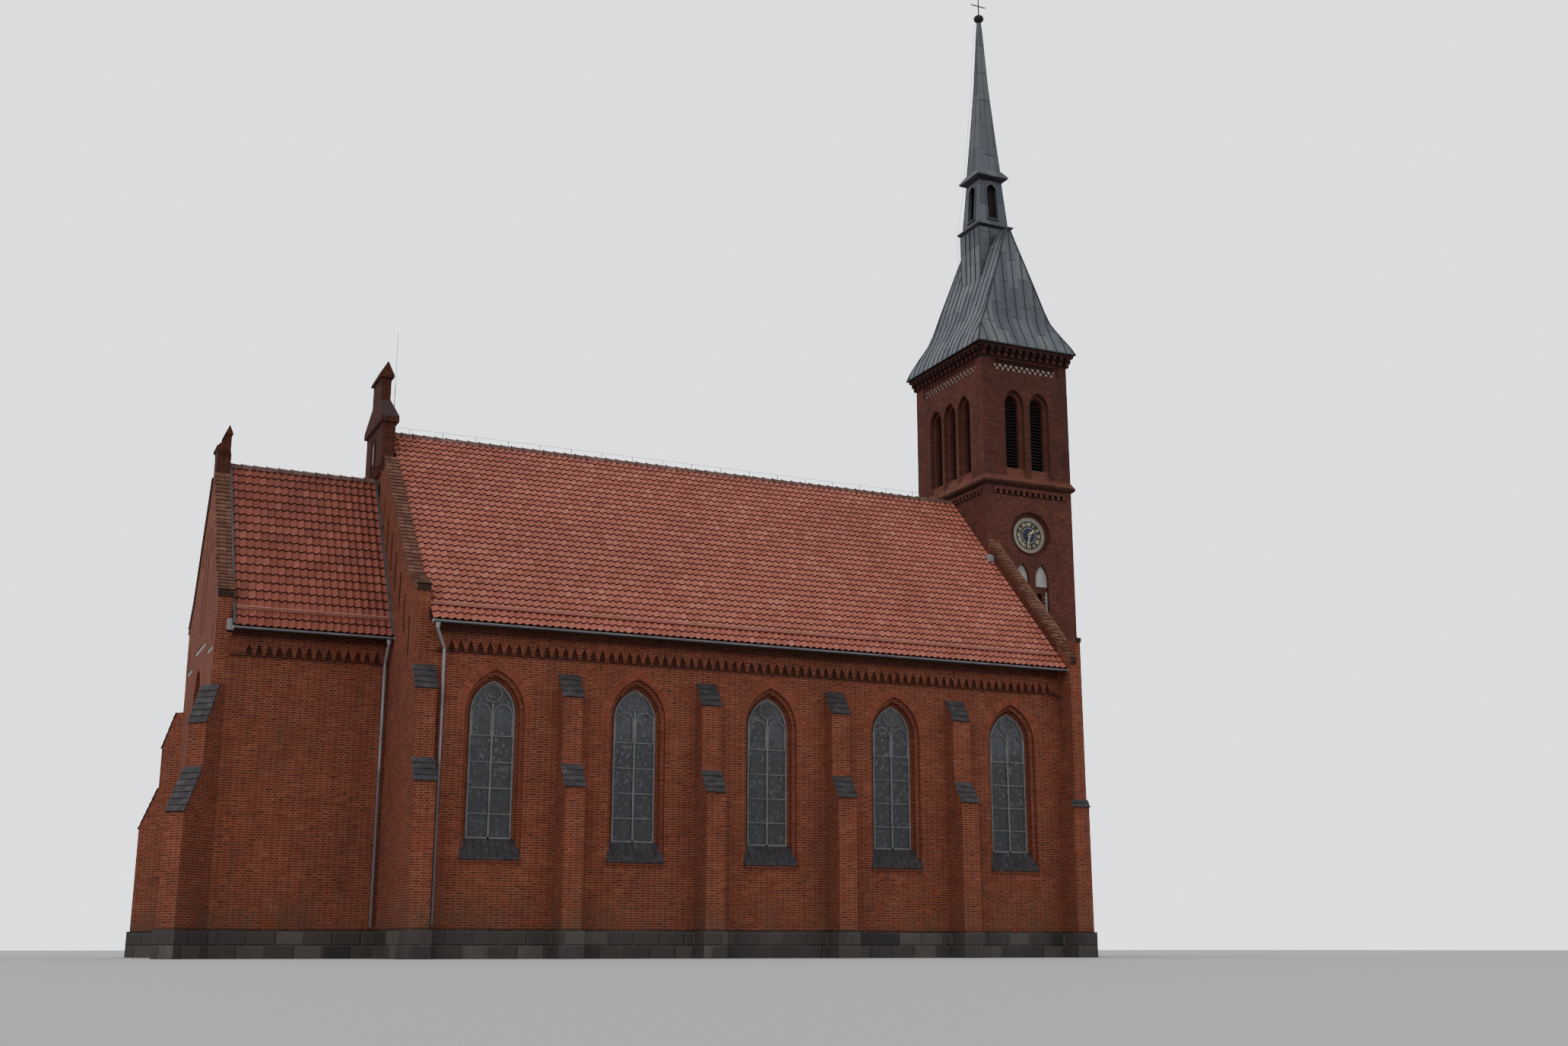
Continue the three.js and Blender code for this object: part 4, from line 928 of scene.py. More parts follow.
def archBar(width, foot, spring, rise, rim, depth, steps=8):  # a bar round a pointed opening
    half = width / 2
    radius = (half * half + rise * rise) / (2 * half)
    bar = block((half - rim, -depth, foot), (half, 0, spring))
    editing(bar)
    pick(bar, lambda f: f.normal.z > square)
    bpy.ops.mesh.spin(
        steps=steps, angle=math.atan2(rise, radius - half), center=(half - radius, 0, spring), axis=(0, 1, 0),
    )
    doneEditing()
    return useModifier(
        bar, "MIRROR", use_axis=(True, False, False), use_bisect_axis=(True, False, False),
        use_mirror_merge=True, merge_threshold=hair,
    )


def ringBar(radius, rim, place, steps, sides):  # a round bar in the plane of the window
    deselect()
    bpy.ops.mesh.primitive_torus_add(
        major_radius=radius, minor_radius=rim, major_segments=steps, minor_segments=sides,
        location=place, rotation=(math.pi / 2, 0, 0),
    )
    return setPlace(bpy.context.object)


def windowFrame():
    w = window
    inner, depth = w["width"] / 2 - w["rim"], w["depth"]
    parts = [
        archBar(w["width"], w["foot"], w["spring"], w["rise"], w["rim"], depth, 10),
        block((-inner, -depth, w["foot"]), (inner, 0, w["foot"] + w["rim"])),
        block((-w["mullion"] / 2, -depth, w["foot"]), (w["mullion"] / 2, 0, w["spring"] + w["mullionUp"])),
    ]
    for level in w["bars"]:
        low, high = level - w["bar"] / 2, level + w["bar"] / 2
        parts.append(block((-inner, -w["barDepth"], low), (inner, 0, high)))
    for side in (-1, 1):
        foot, spring = w["spring"] - w["headFoot"], w["spring"] - w["headDrop"]
        head = archBar(w["head"], foot, spring, w["head"] / 2, w["headRim"], w["headDepth"])
        head.location.x = side * (inner + w["mullion"] / 2) / 2
        parts.append(setPlace(head))
    parts.append(ringBar(w["eye"], w["eyeRim"], (0, -depth / 2, w["eyeZ"]), 24, 6))
    for i in range(4):  # four foils inside the eye
        spot = math.pi / 4 + i * math.pi / 2
        out = w["eye"] * w["foilOut"]
        place = (out * math.cos(spot), -w["foilIn"], w["eyeZ"] + out * math.sin(spot))
        parts.append(ringBar(w["eye"] * w["foil"], w["foilRim"], place, 14, 4))
    return joined(parts)


def alongBays(piece, y, bays=bay["count"], shift=0.0):  # one in each bay, set against the nave's south side
    row(piece, bays, (bay["pitch"], 0, 0))
    piece.location = (bay["first"] + shift, y, 0)
    return setPlace(piece)


print("window frames")
oneFrame = windowFrame()
eastFrame = copyOf(oneFrame, faceEast(window["eastFace"], window["lift"]))
settle(eastFrame, "chancel_window_frame", windowBar)
settlePair(alongBays(oneFrame, window["face"]), "nave_window_frames", windowBar)


# Tiled sills and buttress tops

sill = {
    "width": 1.90, "out": 0.07, "in": 0.35, "foot": 2.885, "top": 3.535, "thick": 0.028, "tiles": 8,
    "gap": 0.008, "round": 0.004,
}
ribbed = {
    "profile": (0.0, 0.012, 0.012, 0.0), "lift": 0.022, "lip": 0.020, "seamStep": 0, "wide": 0.09,
    "gauge": 0.21, "slab": 0.02, "under": 0.002, "overhang": 0.025, "side": 0.03, "round": 0.006,
}
# each step of a buttress: how far out it stands, its foot, how far out it ends, its top
buttress = {"width": 0.65, "steps": [(0.95, 5.10, 0.50, 5.80), (0.50, 7.90, 0.0, 8.65)]}
diagonal = {"width": 0.65, "steps": [(1.17, 4.24, 0.49, 5.60), (0.49, 6.95, 0.0, 8.15)]}
westPier = {"x": 12.87, "step": (0.95, 5.10, 0.81, 5.35)}


def sillTiles():
    run, rise = sill["out"] + sill["in"], sill["top"] - sill["foot"]
    step = sill["width"] / sill["tiles"]
    corner = (step - sill["gap"], math.hypot(run, rise), sill["thick"])
    tiles = bevelled(block((0, 0, 0), corner), sill["round"])
    row(tiles, sill["tiles"], (step, 0, 0))
    tiles.rotation_euler = (math.atan2(rise, run), 0, 0)
    tiles.location = (-sill["width"] / 2, -sill["out"], sill["foot"])
    return setPlace(tiles)


def weathering(width, out, foot, inner, top):  # ribbed tiles on the sloping top of a buttress
    run, rise = out - inner, top - foot
    length, over = math.hypot(run, rise), ribbed["overhang"]
    whole = width + 2 * ribbed["side"]
    slab = block((-whole / 2, -over, ribbed["under"]), (whole / 2, length, ribbed["slab"]))
    rows, across = max(2, round(length / ribbed["gauge"])), round(whole / ribbed["wide"])
    wide, gauge = whole / across, (length + over) / rows
    tiles = oneTile(wide, gauge, ribbed)
    row(tiles, across, (wide, 0, 0))
    row(tiles, rows, (0, gauge, 0))
    tiles.location = (-whole / 2, -over, ribbed["slab"])
    setPlace(tiles)
    cover = joined([bevelled(slab, ribbed["round"]), tiles])
    cover.rotation_euler = (math.atan2(rise, run), 0, 0)
    cover.location = (0, -out, foot)
    return setPlace(cover)


print("sills and buttress tops")
oneSill = sillTiles()
eastSill = copyOf(oneSill, faceEast(chancelEast, window["lift"]))
settle(eastSill, "chancel_window_sill", sillTile)
settlePair(alongBays(oneSill, -naveHalf), "nave_window_sills", sillTile)
onePier = joined([weathering(buttress["width"], *step) for step in buttress["steps"]])
eastPier = copyOf(onePier, Matrix.Translation((naveEast + buttress["width"] / 2, -naveHalf, 0)))
lowWest = weathering(buttress["width"], *westPier["step"])
lowWest.location = (westPier["x"] - buttress["width"] / 2, -naveHalf, 0)
alongBays(onePier, -naveHalf, bay["count"] - 1, bay["pitch"] / 2)
settlePair(joined([onePier, eastPier, setPlace(lowWest)]), "buttress_tops", slateTile)
corner = joined([weathering(diagonal["width"], *step) for step in diagonal["steps"]])
corner.rotation_euler = (0, 0, -math.pi / 4)
corner.location = (chancelEast, -chancelHalf, 0)
settlePair(corner, "diagonal_tops", slateTile)


# Tower brickwork trim

dentil = {
    "wide": 0.13, "pitch": 0.27, "high": 0.17, "proud": 0.06, "top": 17.95, "margin": 0.30, "band": 0.12,
    "in": 0.02, "round": 0.008,
}
bracket = {"wide": 0.15, "pitch": 0.33, "steps": [(0.06, 23.50, 23.69), (0.15, 23.68, 23.86)], "proud": 0.085}
lattice = {
    "bottom": 22.99, "top": 23.22, "bar": 0.072, "proud": 0.026, "deep": 0.049, "pitch": 0.27,
    "marginX": 0.58, "marginY": 0.66, "ground": 0.008,
}


def aroundTower(piece, turns=(0, 2)):  # copies of a piece made for the south face on the other faces
    made = []
    for turn in turns:
        place = Matrix.Translation((towerX, 0, 0)) @ Matrix.Rotation(turn * math.pi / 2, 4, "Z")
        made.append(copyOf(piece, place))
    bpy.data.objects.remove(piece)
    return made


def onAllFaces(make, lessX=0, lessY=0):  # make draws a piece for a wall at a distance and of a half width
    narrow = aroundTower(make(towerHalf["y"], towerHalf["x"] - lessX))
    return narrow + aroundTower(make(towerHalf["x"], towerHalf["y"] - lessY), (1, 3))


def toothRow(look, face, half, bottom, top):  # centred on x = 0, on a wall that faces south at -face
    count = int((2 * half - look["wide"]) / look["pitch"]) + 1
    span = (count - 1) * look["pitch"] + look["wide"]
    tooth = block((0, -face - look["proud"], bottom), (look["wide"], -face + dentil["in"], top))
    row(bevelled(tooth, dentil["round"]), count, (look["pitch"], 0, 0))
    tooth.location.x = -span / 2
    return setPlace(tooth)


def dentilCourse(face, half):
    top = dentil["top"]
    teeth = toothRow(dentil, face, half, top - dentil["high"], top)
    band = block((-half, -face - dentil["proud"], top), (half, -face + dentil["in"], top + dentil["band"]))
    return joined([teeth, bevelled(band, dentil["round"])])


def latticeGround(face, half):  # the plaster that the brick bars cross
    back = -face + lattice["deep"]
    return block((-half, back, lattice["bottom"]), (half, back + lattice["ground"], lattice["top"]))


def latticeBand(face, half):  # slanting brick bars that meet at top and bottom of the recessed panel
    high = lattice["top"] - lattice["bottom"]
    count = round(2 * half / lattice["pitch"])
    step = 2 * half / count
    thick = lattice["bar"] / 2
    pair = []
    for side in (-1, 1):
        start = Vector((side * step / 2, -face + lattice["deep"], lattice["bottom"]))
        end = Vector((0, -face + lattice["deep"], lattice["top"]))
        length = (end - start).length
        bar = block((-length / 2, -lattice["proud"], -thick), (length / 2, 0, thick))
        bar.rotation_euler = (0, side * math.atan2(high, step / 2), 0)
        bar.location = (start + end) / 2
        pair.append(setPlace(bar))
    band = row(joined(pair), count, (step, 0, 0))
    band.location.x = -half + step / 2
    return setPlace(band)


print("tower trim")
trim = onAllFaces(dentilCourse, dentil["margin"], dentil["margin"])
for out, bottom, top in bracket["steps"]:
    trim += onAllFaces(lambda face, half: toothRow(bracket, face + out, half + out, bottom, top))
settle(joined(trim), "tower_teeth", towerBrick)
lattices = onAllFaces(latticeBand, lattice["marginX"], lattice["marginY"])
settle(joined(lattices), "tower_lattice", towerBrick)
grounds = onAllFaces(latticeGround, lattice["marginX"], lattice["marginY"])
settle(joined(grounds), "lattice_plaster", plaster)

slat = {
    "wide": 0.66, "deep": 0.15, "thick": 0.018, "pitch": 0.135, "bottom": 18.98, "count": 21, "in": 0.34,
    "tilt": 42, "round": 0.003, "south": (-0.59, 0.59), "east": (-1.13, 0, 1.13),
}


def louvreStack():  # tilted boards in one belfry opening, drawn for a wall face at y = 0
    board = block((-slat["wide"] / 2, 0, 0), (slat["wide"] / 2, slat["deep"], slat["thick"]))
    bevelled(board, slat["round"])
    board.rotation_euler = (math.radians(slat["tilt"]), 0, 0)
    board.location = (0, slat["in"], slat["bottom"])
    setPlace(board)
    return row(board, slat["count"], (0, 0, slat["pitch"]))


stacks = []
for turn, face, centres in ((0, towerHalf["y"], slat["south"]), (1, towerHalf["x"], slat["east"])):
    for centre in centres:
        stack = louvreStack()
        stack.location = (centre, -face, 0)
        stacks += aroundTower(setPlace(stack), (turn, turn + 2))
settle(joined(stacks), "belfry_slats", darkBoards)

niche = {
    "left": 13.96, "right": 14.86, "width": 0.59, "bottom": 12.80, "spring": 14.45, "rise": 0.60,
    "back": -2.58, "thick": 0.012, "brickTop": 14.17,
    "strip": 0.075, "stripDrop": 0.2, "teeth": 7, "tooth": 0.13, "toothEnd": 0.07, "toothHigh": 0.07,
    "toothPitch": 0.154,
}


def archPlate(width, foot, spring, rise, thick):
    return archBar(width, foot, spring, rise, width / 2, thick)


def nichePlate(x, foot):
    plate = archPlate(niche["width"], foot, niche["spring"], niche["rise"], niche["thick"])
    plate.location = (x, niche["back"], 0)
    return setPlace(plate)


def brokenEdge():  # plaster left beside the bricks in the right niche, with teeth between their courses
    edge, low = niche["right"] + niche["width"] / 2, niche["bottom"]
    front, back = niche["back"] - niche["thick"], niche["back"]
    strip = block((edge - niche["strip"], front, low), (edge, back, niche["brickTop"] - niche["stripDrop"]))
    start, end = edge - niche["tooth"], edge - niche["toothEnd"]
    teeth = block((start, front, low), (end, back, low + niche["toothHigh"]))
    return [strip, row(teeth, niche["teeth"], (0, 0, niche["toothPitch"]))]


leftPlate = nichePlate(niche["left"], niche["bottom"])
southPlaster = joined([leftPlate, nichePlate(niche["right"], niche["brickTop"]), *brokenEdge()])
northPlates = joined([nichePlate(niche[side], niche["bottom"]) for side in ("left", "right")])
settle(joined([southPlaster, toNorth(northPlates)]), "niche_plaster", plaster)
bpy.data.objects.remove(northPlates)


# Clock

numeral = {
    "names": ("XII", "I", "II", "III", "IIII", "V", "VI", "VII", "VIII", "IX", "X", "XI"),
    "size": 0.185, "out": 0.45, "thick": 0.004, "bold": 0.004, "dot": 0.012, "fifthDot": 1.6, "dots": 60,
    "dotOut": 0.578,
}


def roundDial(part, out, turn):  # from the dial's middle out to its place round it
    part.data.transform(Matrix.Translation((0, 0, out)))
    part.data.transform(Matrix.Rotation(turn, 4, "Y"))
    return part


def numerals():
    parts = []
    thick = numeral["thick"]
    for i, name in enumerate(numeral["names"]):
        deselect()
        bpy.ops.object.text_add(location=(0, 0, 0))
        text = bpy.context.object
        text.data.body = name
        text.data.align_x = "CENTER"
        text.data.align_y = "CENTER"
        text.data.size = numeral["size"]
        text.data.extrude = thick
        text.data.offset = numeral["bold"]
        only(text)
        bpy.ops.object.convert(target="MESH")
        made = bpy.context.object
        made.data.transform(Matrix.Rotation(math.pi / 2, 4, "X"))
        parts.append(roundDial(made, numeral["out"], i * math.pi / 6))
    for i in range(numeral["dots"]):
        half = numeral["dot"] * (1 if i % 5 else numeral["fifthDot"]) / 2
        dot = block((-half, -thick, -half), (half, thick, half))
        parts.append(roundDial(dot, numeral["dotOut"], i * 2 * math.pi / numeral["dots"]))
    ring = joined(parts)
    ring.location = (dial["x"], dial["face"] - thick, dial["z"])
    return setPlace(ring)


print("clock")
settle(numerals(), "clock_numerals", gilding)


# Sheet metal roof and spire

roofCurve = [  # height, half width east to west, half width north to south
    (24.00, 2.312, 2.990), (24.40, 2.174, 2.793), (24.80, 1.981, 2.562), (25.20, 1.766, 2.364),
    (25.50, 1.593, 2.258), (26.00, 1.378, 2.196), (27.00, 1.040, 2.078), (28.00, 0.680, 1.969),
    (29.00, 0.332, 1.834), (29.70, 0.045, 1.810),
]
seam = {
    "wide": 0.47, "narrow": 0.40, "thick": 0.016, "proud": 0.05, "hip": 0.075, "crown": 0.09,
    "eave": (0.03, 0.05), "shaft": 0.77, "shaftFoot": 27.6, "shaftTop": 30.05,
    "shaftEast": (-0.36, 0.0, 0.36), "eastStrip": (0.04, 0.018),
    "shaftSouth": (-0.77, -0.26, 0.26, 0.77), "southStrip": (0.022, 0.035), "leastStep": 0.05,
}


def between(points, level):  # a width at a level, from points of level and width that go upwards
    for (z0, w0), (z1, w1) in zip(points, points[1:]):
        if z0 <= level <= z1:
            return w0 + (w1 - w0) * (level - z0) / (z1 - z0)
    return points[-1][1]


def halfAt(level, index):  # the roof's half width at a height
    return between([(point[0], point[index]) for point in roofCurve], level)


def levelWhere(width, index):  # the height at which the roof has narrowed to a half width
    for low, high in zip(roofCurve, roofCurve[1:]):
        if high[index] <= width <= low[index]:
            return low[0] + (high[0] - low[0]) * (low[index] - width) / (low[index] - high[index])
    return roofCurve[-1][0]


def seamPoints(offset, face):
    top = levelWhere(abs(offset), 1 if face == "south" else 2)
    if face == "east" and abs(offset) < seam["shaft"]:
        top = levelWhere(seam["shaft"], 1)
    levels = [point[0] for point in roofCurve if point[0] < top - seam["leastStep"]] + [top]
    if face == "south":
        return [(offset, -halfAt(z, 2), z) for z in levels]
    return [(-halfAt(z, 1), offset, z) for z in levels]


def seamSet(face):
    wide = seam["wide"] if face == "south" else seam["narrow"]
    half = roofCurve[0][1] if face == "south" else roofCurve[0][2]
    count = int(half / wide)
    size = (seam["thick"], seam["proud"]) if face == "south" else (seam["proud"], seam["thick"])
    return [barAlong(seamPoints(i * wide, face), *size) for i in range(-count, count + 1)]


def roofRolls():  # rolls on the hips, the crown and the eaves, and strips up the shaft
    wall, top = seam["shaft"], seam["shaftTop"]
    footZ, footX, footY = roofCurve[0]
    crownZ, crownY = roofCurve[-1][0], roofCurve[-1][2]
    high, wide = seam["eave"]
    parts = []
    for side in (-1, 1):
        parts.append(barAlong([(side * x, -y, z) for z, x, y in roofCurve], seam["hip"], seam["hip"], 6))
    parts.append(rod((0, -crownY, crownZ), (0, -wall, crownZ), seam["crown"], facing=(0, 1, 0)))
    parts.append(barAlong([(-footX, -footY, footZ), (footX, -footY, footZ)], high, wide, 4, (1, 0, 0)))
    for x in (-footX, footX):
        parts.append(barAlong([(x, -footY, footZ), (x, 0, footZ)], wide, high, 4, (0, 1, 0)))
    foot = levelWhere(wall, 1)
    for y in seam["shaftEast"]:
        for x in (-wall, wall):
            parts.append(barAlong([(x, y, foot), (x, y, top)], *seam["eastStrip"]))
    for x in seam["shaftSouth"]:
        parts.append(barAlong([(x, -wall, seam["shaftFoot"]), (x, -wall, top)], *seam["southStrip"]))
    return parts


print("roof seams")
southSeams = joined(seamSet("south") + roofRolls())
eastSeams = joined(seamSet("east"))
settle(joined(aroundTower(southSeams) + aroundTower(eastSeams)), "roof_seams", seamMetal)

spireCurve = [(32.55, 0.77), (32.90, 0.52), (34.35, 0.409), (37.00, 0.225), (39.70, 0.095), (40.17, 0.06)]
spireSeam = {
    "hip": 0.045, "strip": (0.018, 0.03), "cross": (0.012, 0.022), "levels": (33.6, 35.1, 36.3, 37.6, 38.7),
}
stage = {
    "foot": 0.69, "footZ": 30.35, "head": 0.54, "headZ": 32.34, "post": 0.045,
    "opening": 0.48, "bottom": 30.56, "spring": 31.85, "rise": 0.33, "rim": 0.045, "depth": 0.05,
    "sill": 0.285, "sillOut": 0.07, "sillHigh": 0.05, "sillDrop": 0.01, "in": 0.01,
}


def stageFrame():  # the surround of one of the lantern's openings, leaning in with its wall
    rim, foot = stage["rim"], stage["bottom"] - stage["rim"]
    width, rise = stage["opening"] + 2 * rim, stage["rise"] + rim
    surround = archBar(width, foot, stage["spring"], rise, rim, stage["depth"], 5)
    half, top = stage["sill"], stage["bottom"] - stage["sillDrop"]
    sillBar = block((-half, -stage["sillOut"], top - stage["sillHigh"]), (half, 0, top))
    surround = joined([surround, sillBar])
    lean = math.atan2(stage["foot"] - stage["head"], stage["headZ"] - stage["footZ"])
    surround.data.transform(Matrix.Translation((0, 0, -stage["footZ"])))
    surround.data.transform(Matrix.Rotation(-lean, 4, "X"))
    surround.location = (0, -stage["foot"] + stage["in"], stage["footZ"])
    return setPlace(surround)


def spireSeams():
    parts = [
        barAlong([(-half, -half, z) for z, half in spireCurve], spireSeam["hip"], spireSeam["hip"], 6),
        barAlong([(0, -half, z) for z, half in spireCurve[1:-1]], *spireSeam["strip"]),
    ]
    for level in spireSeam["levels"]:
        half = between(spireCurve, level)
        cross = [(-half, -half, level), (half, -half, level)]
        parts.append(barAlong(cross, *spireSeam["cross"], 4, (1, 0, 0)))
    foot = (-stage["foot"], -stage["foot"], stage["footZ"])
    head = (-stage["head"], -stage["head"], stage["headZ"])
    parts.append(rod(foot, head, stage["post"]))
    parts.append(stageFrame())
    return joined(parts)


settle(joined(aroundTower(spireSeams(), (0, 1, 2, 3))), "spire_seams", roofSheet)

conductor = {
    "out": 0.09, "thick": 0.016, "clip": 0.014, "levels": (28.6, 30.0, 31.3, 33.6, 35.1, 36.6, 38.2),
    "lip": 0.82, "lipZ": 32.6, "ledge": 0.87, "ledgeZ": 30.3, "shaftZ": 29.9, "foot": 27.9,
}


def conductorWire():  # drawn on the corner at (-half, half), from the foot of the shaft to the spire's top
    out, thick = conductor["out"], conductor["thick"]
    path = [
        (conductor["foot"], seam["shaft"] + out), (conductor["shaftZ"], seam["shaft"] + out),
        (conductor["ledgeZ"], conductor["ledge"]), (stage["headZ"], stage["head"] + out),
        (conductor["lipZ"], conductor["lip"]),
    ]
    path += [(z, half + out) for z, half in spireCurve[1:]]
    parts = [barAlong([(-far, far, z) for z, far in reversed(path)], thick, thick, 5)]
    for level in conductor["levels"]:
        far = between(path, level)
        near = far - out
        parts.append(rod((-far, far, level), (-near, near, level), conductor["clip"], 4))
    return joined(parts)


settle(aroundTower(conductorWire(), (0,))[0], "conductor_wire", darkIron)


# Rainwater goods, snow rails, flashings and rods

gutter = {
    "out": 0.075, "radius": 0.075, "rimDrop": 0.05, "bead": 0.02, "pitch": 0.85, "firstStrap": 0.3,
    "strapRadius": 0.079, "strap": (0.03, 0.006), "plate": 0.012, "plateHalf": 0.088, "plateUp": 0.03,
    "outlet": 0.085, "outletFoot": 0.055, "outletHigh": 0.16, "outletDrop": 0.155, "outletIn": 0.15,
    "plateRound": 0.01,
}
pipe = {
    "radius": 0.05, "collar": 0.012, "collarHigh": 0.05, "collarRound": 0.006, "levels": (2.2, 4.4, 6.6, 8.7),
    "arm": 0.012, "armLong": 0.12, "besidePier": 0.25, "y": -7.272, "chancelX": -11.04, "chancelY": -3.832,
}


def collarAt(x, y, level):  # a collar on the downpipe and the arm that holds it to the wall
    deselect()
    bpy.ops.mesh.primitive_cylinder_add(
        vertices=12, radius=pipe["radius"] + pipe["collar"], depth=pipe["collarHigh"], location=(x, y, level),
    )
    collar = bevelled(setPlace(bpy.context.object), pipe["collarRound"])
    half = pipe["arm"]
    return [collar, block((x - half, y, level - half), (x + half, y + pipe["armLong"], level + half))]


def gutterTrim(roof, pipeX, outletX, pipeY):
    y = -roof["eaveOut"] - gutter["out"]
    z = roof["eaveZ"] - gutter["rimDrop"]
    east, west = roof["east"], roof["west"]
    bead = y - gutter["radius"]
    parts = [rod((east, bead, z), (west, bead, z), gutter["bead"], facing=(1, 0, 0))]
    turns = [math.pi + math.pi * k / 8 for k in range(9)]
    reach = gutter["strapRadius"]
    hoop = barAlong([(0, y + reach * math.cos(a), z + reach * math.sin(a)) for a in turns], *gutter["strap"])
    count = round((west - east) / gutter["pitch"])
    hoop.location.x = east + gutter["firstStrap"]
    setPlace(hoop)
    parts.append(row(hoop, count, ((west - east) / count, 0, 0)))
    thick, half = gutter["plate"], gutter["plateHalf"]
    for end in (east, west):
        plate = block((end - thick, y - half, z - half), (end + thick, y + half, z + gutter["plateUp"]))
        parts.append(bevelled(plate, gutter["plateRound"], 2))
    deselect()
    bpy.ops.mesh.primitive_cone_add(
        vertices=12, radius1=gutter["outletFoot"], radius2=gutter["outlet"], depth=gutter["outletHigh"],
        location=(outletX, y, z - gutter["outletDrop"]),
    )
    parts.append(setPlace(bpy.context.object))
    for level in pipe["levels"]:
        parts += collarAt(pipeX, pipeY, level)
    return joined(parts)


print("rainwater goods")
navePipeX = naveEast + buttress["width"] + pipe["besidePier"]
naveTrim = gutterTrim(naveRoof, navePipeX, naveRoof["east"] + gutter["outletIn"], pipe["y"])
settlePair(naveTrim, "nave_gutter_trim", zincPale)
chancelTrim = gutterTrim(chancelRoof, pipe["chancelX"], pipe["chancelX"], pipe["chancelY"])
settlePair(chancelTrim, "chancel_gutter_trim", zincPale)

rail = {
    "up": 0.69, "heights": (0.085, 0.165), "thick": 0.042, "end": 0.1, "pitch": 0.95, "post": 0.02,
    "postHigh": 0.24, "firstPost": 0.2,
}


def snowRail(roof):
    sine, cosine = slopeParts(roof)[1:]
    foot = Vector((0, -roof["eaveOut"], roof["eaveZ"])) + Vector((0, cosine, sine)) * rail["up"]
    out = Vector((0, -sine, cosine))
    parts = []
    for height in rail["heights"]:
        start = foot + out * height + Vector((roof["east"] + rail["end"], 0, 0))
        end = foot + out * height + Vector((roof["west"] - rail["end"], 0, 0))
        parts.append(rod(start, end, rail["thick"], facing=(1, 0, 0)))
    first = Vector((rail["firstPost"], 0, 0))
    post = rod(foot + first, foot + out * rail["postHigh"] + first, rail["post"], 4)
    post.location.x = roof["east"]
    setPlace(post)
    count = int((roof["west"] - roof["east"]) / rail["pitch"])
    parts.append(row(post, count, (rail["pitch"], 0, 0)))
    return joined(parts)


settlePair(snowRail(naveRoof), "snow_rails", railClay)
settlePair(snowRail(chancelRoof), "chancel_snow_rails", railClay)

flashing = {"out": 0.085, "thick": 0.05, "east": 0.03, "eastWide": 0.07, "west": 0.035, "westWide": 0.08}


def verge(roof, x, wide):  # a lead strip up the edge of a roof
    sine, cosine = slopeParts(roof)[1:]
    out = Vector((0, -sine, cosine)) * flashing["out"]
    foot = Vector((x, -roof["eaveOut"], roof["eaveZ"])) + out
    head = Vector((x, 0, roof["ridgeZ"])) + out
    return barAlong([foot, head], wide, flashing["thick"], 4, head - foot)


leadStrips = joined([
    verge(chancelRoof, chancelRoof["east"] + flashing["east"], flashing["eastWide"]),
    verge(chancelRoof, chancelRoof["west"] - flashing["west"], flashing["westWide"]),
])
rainHead = {"low": (-15.99, -3.98, 9.84), "high": (-15.76, -3.80, 10.21), "round": 0.02}
oneHead = bevelled(block(rainHead["low"], rainHead["high"]), rainHead["round"], 2)
settlePair(oneHead, "rain_heads", zincPale)
hoodLook = {  # where coping, roof and tower meet
    "low": (12.16, -3.12, 14.84), "high": (12.42, -2.71, 15.06), "round": 0.02,
    "inset": 0.04, "push": (0, 0.03, 0.10),
}
hood = block(hoodLook["low"], hoodLook["high"])
editing(hood)
pick(hood, lambda f: f.normal.z > square)
bpy.ops.mesh.inset(thickness=hoodLook["inset"])
bpy.ops.transform.translate(value=hoodLook["push"])
doneEditing()
settlePair(leadStrips, "lead_strips", leadSheet)
settlePair(bevelled(hood, hoodLook["round"], 2), "zinc_hoods", zincPale)

rods = {
    "x": -10.42, "foot": 17.9, "joint": 19.8, "top": 21.7, "thick": 0.036, "thin": 0.022,
    "post": 0.026, "postHigh": 0.20, "pitch": 1.2, "line": 0.014, "first": 0.6, "up": 0.06,
    "round": 0.004,
}


def ridgeRods():  # a rod behind the pinnacle and a thin one on posts along the ridge
    x, half, first = rods["x"], rods["post"] / 2, rods["x"] + rods["first"]
    ridgeTop = naveRoof["ridgeZ"] + rods["up"]
    parts = [
        rod((x, 0, rods["foot"]), (x, 0, rods["joint"]), rods["thick"]),
        rod((x, 0, rods["joint"]), (x, 0, rods["top"]), rods["thin"]),
    ]
    post = block((-half, -half, 0), (half, half, rods["postHigh"]))
    count = int((naveRoof["west"] - x) / rods["pitch"])
    row(bevelled(post, rods["round"]), count, (rods["pitch"], 0, 0))
    post.location = (first, 0, ridgeTop)
    parts.append(setPlace(post))
    level = ridgeTop + rods["postHigh"]
    end = (first + (count - 1) * rods["pitch"], 0, level)
    parts.append(rod((x, 0, level), end, rods["line"], 4, (1, 0, 0)))
    return joined(parts)


settle(ridgeRods(), "ridge_rods", darkIron)

print("copings")
lap = {
    "rise": 0.152, "flat": 0.21, "thick": 0.045, "lip": 0.032, "side": 0.02, "over": 0.05, "round": 0.006,
    "up": 0.001, "within": 0.01,
}


def topLine(node):  # the upper edge of a coping, from its foot up
    corner = realBox(node)[0].x + lap["within"]
    high = {}
    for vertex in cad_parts[node].data.vertices:
        x, y, z = vertex.co / modelScale
        if x < corner:
            high[round(y, 2)] = max(z, high.get(round(y, 2), z))
    return sorted(high.items())


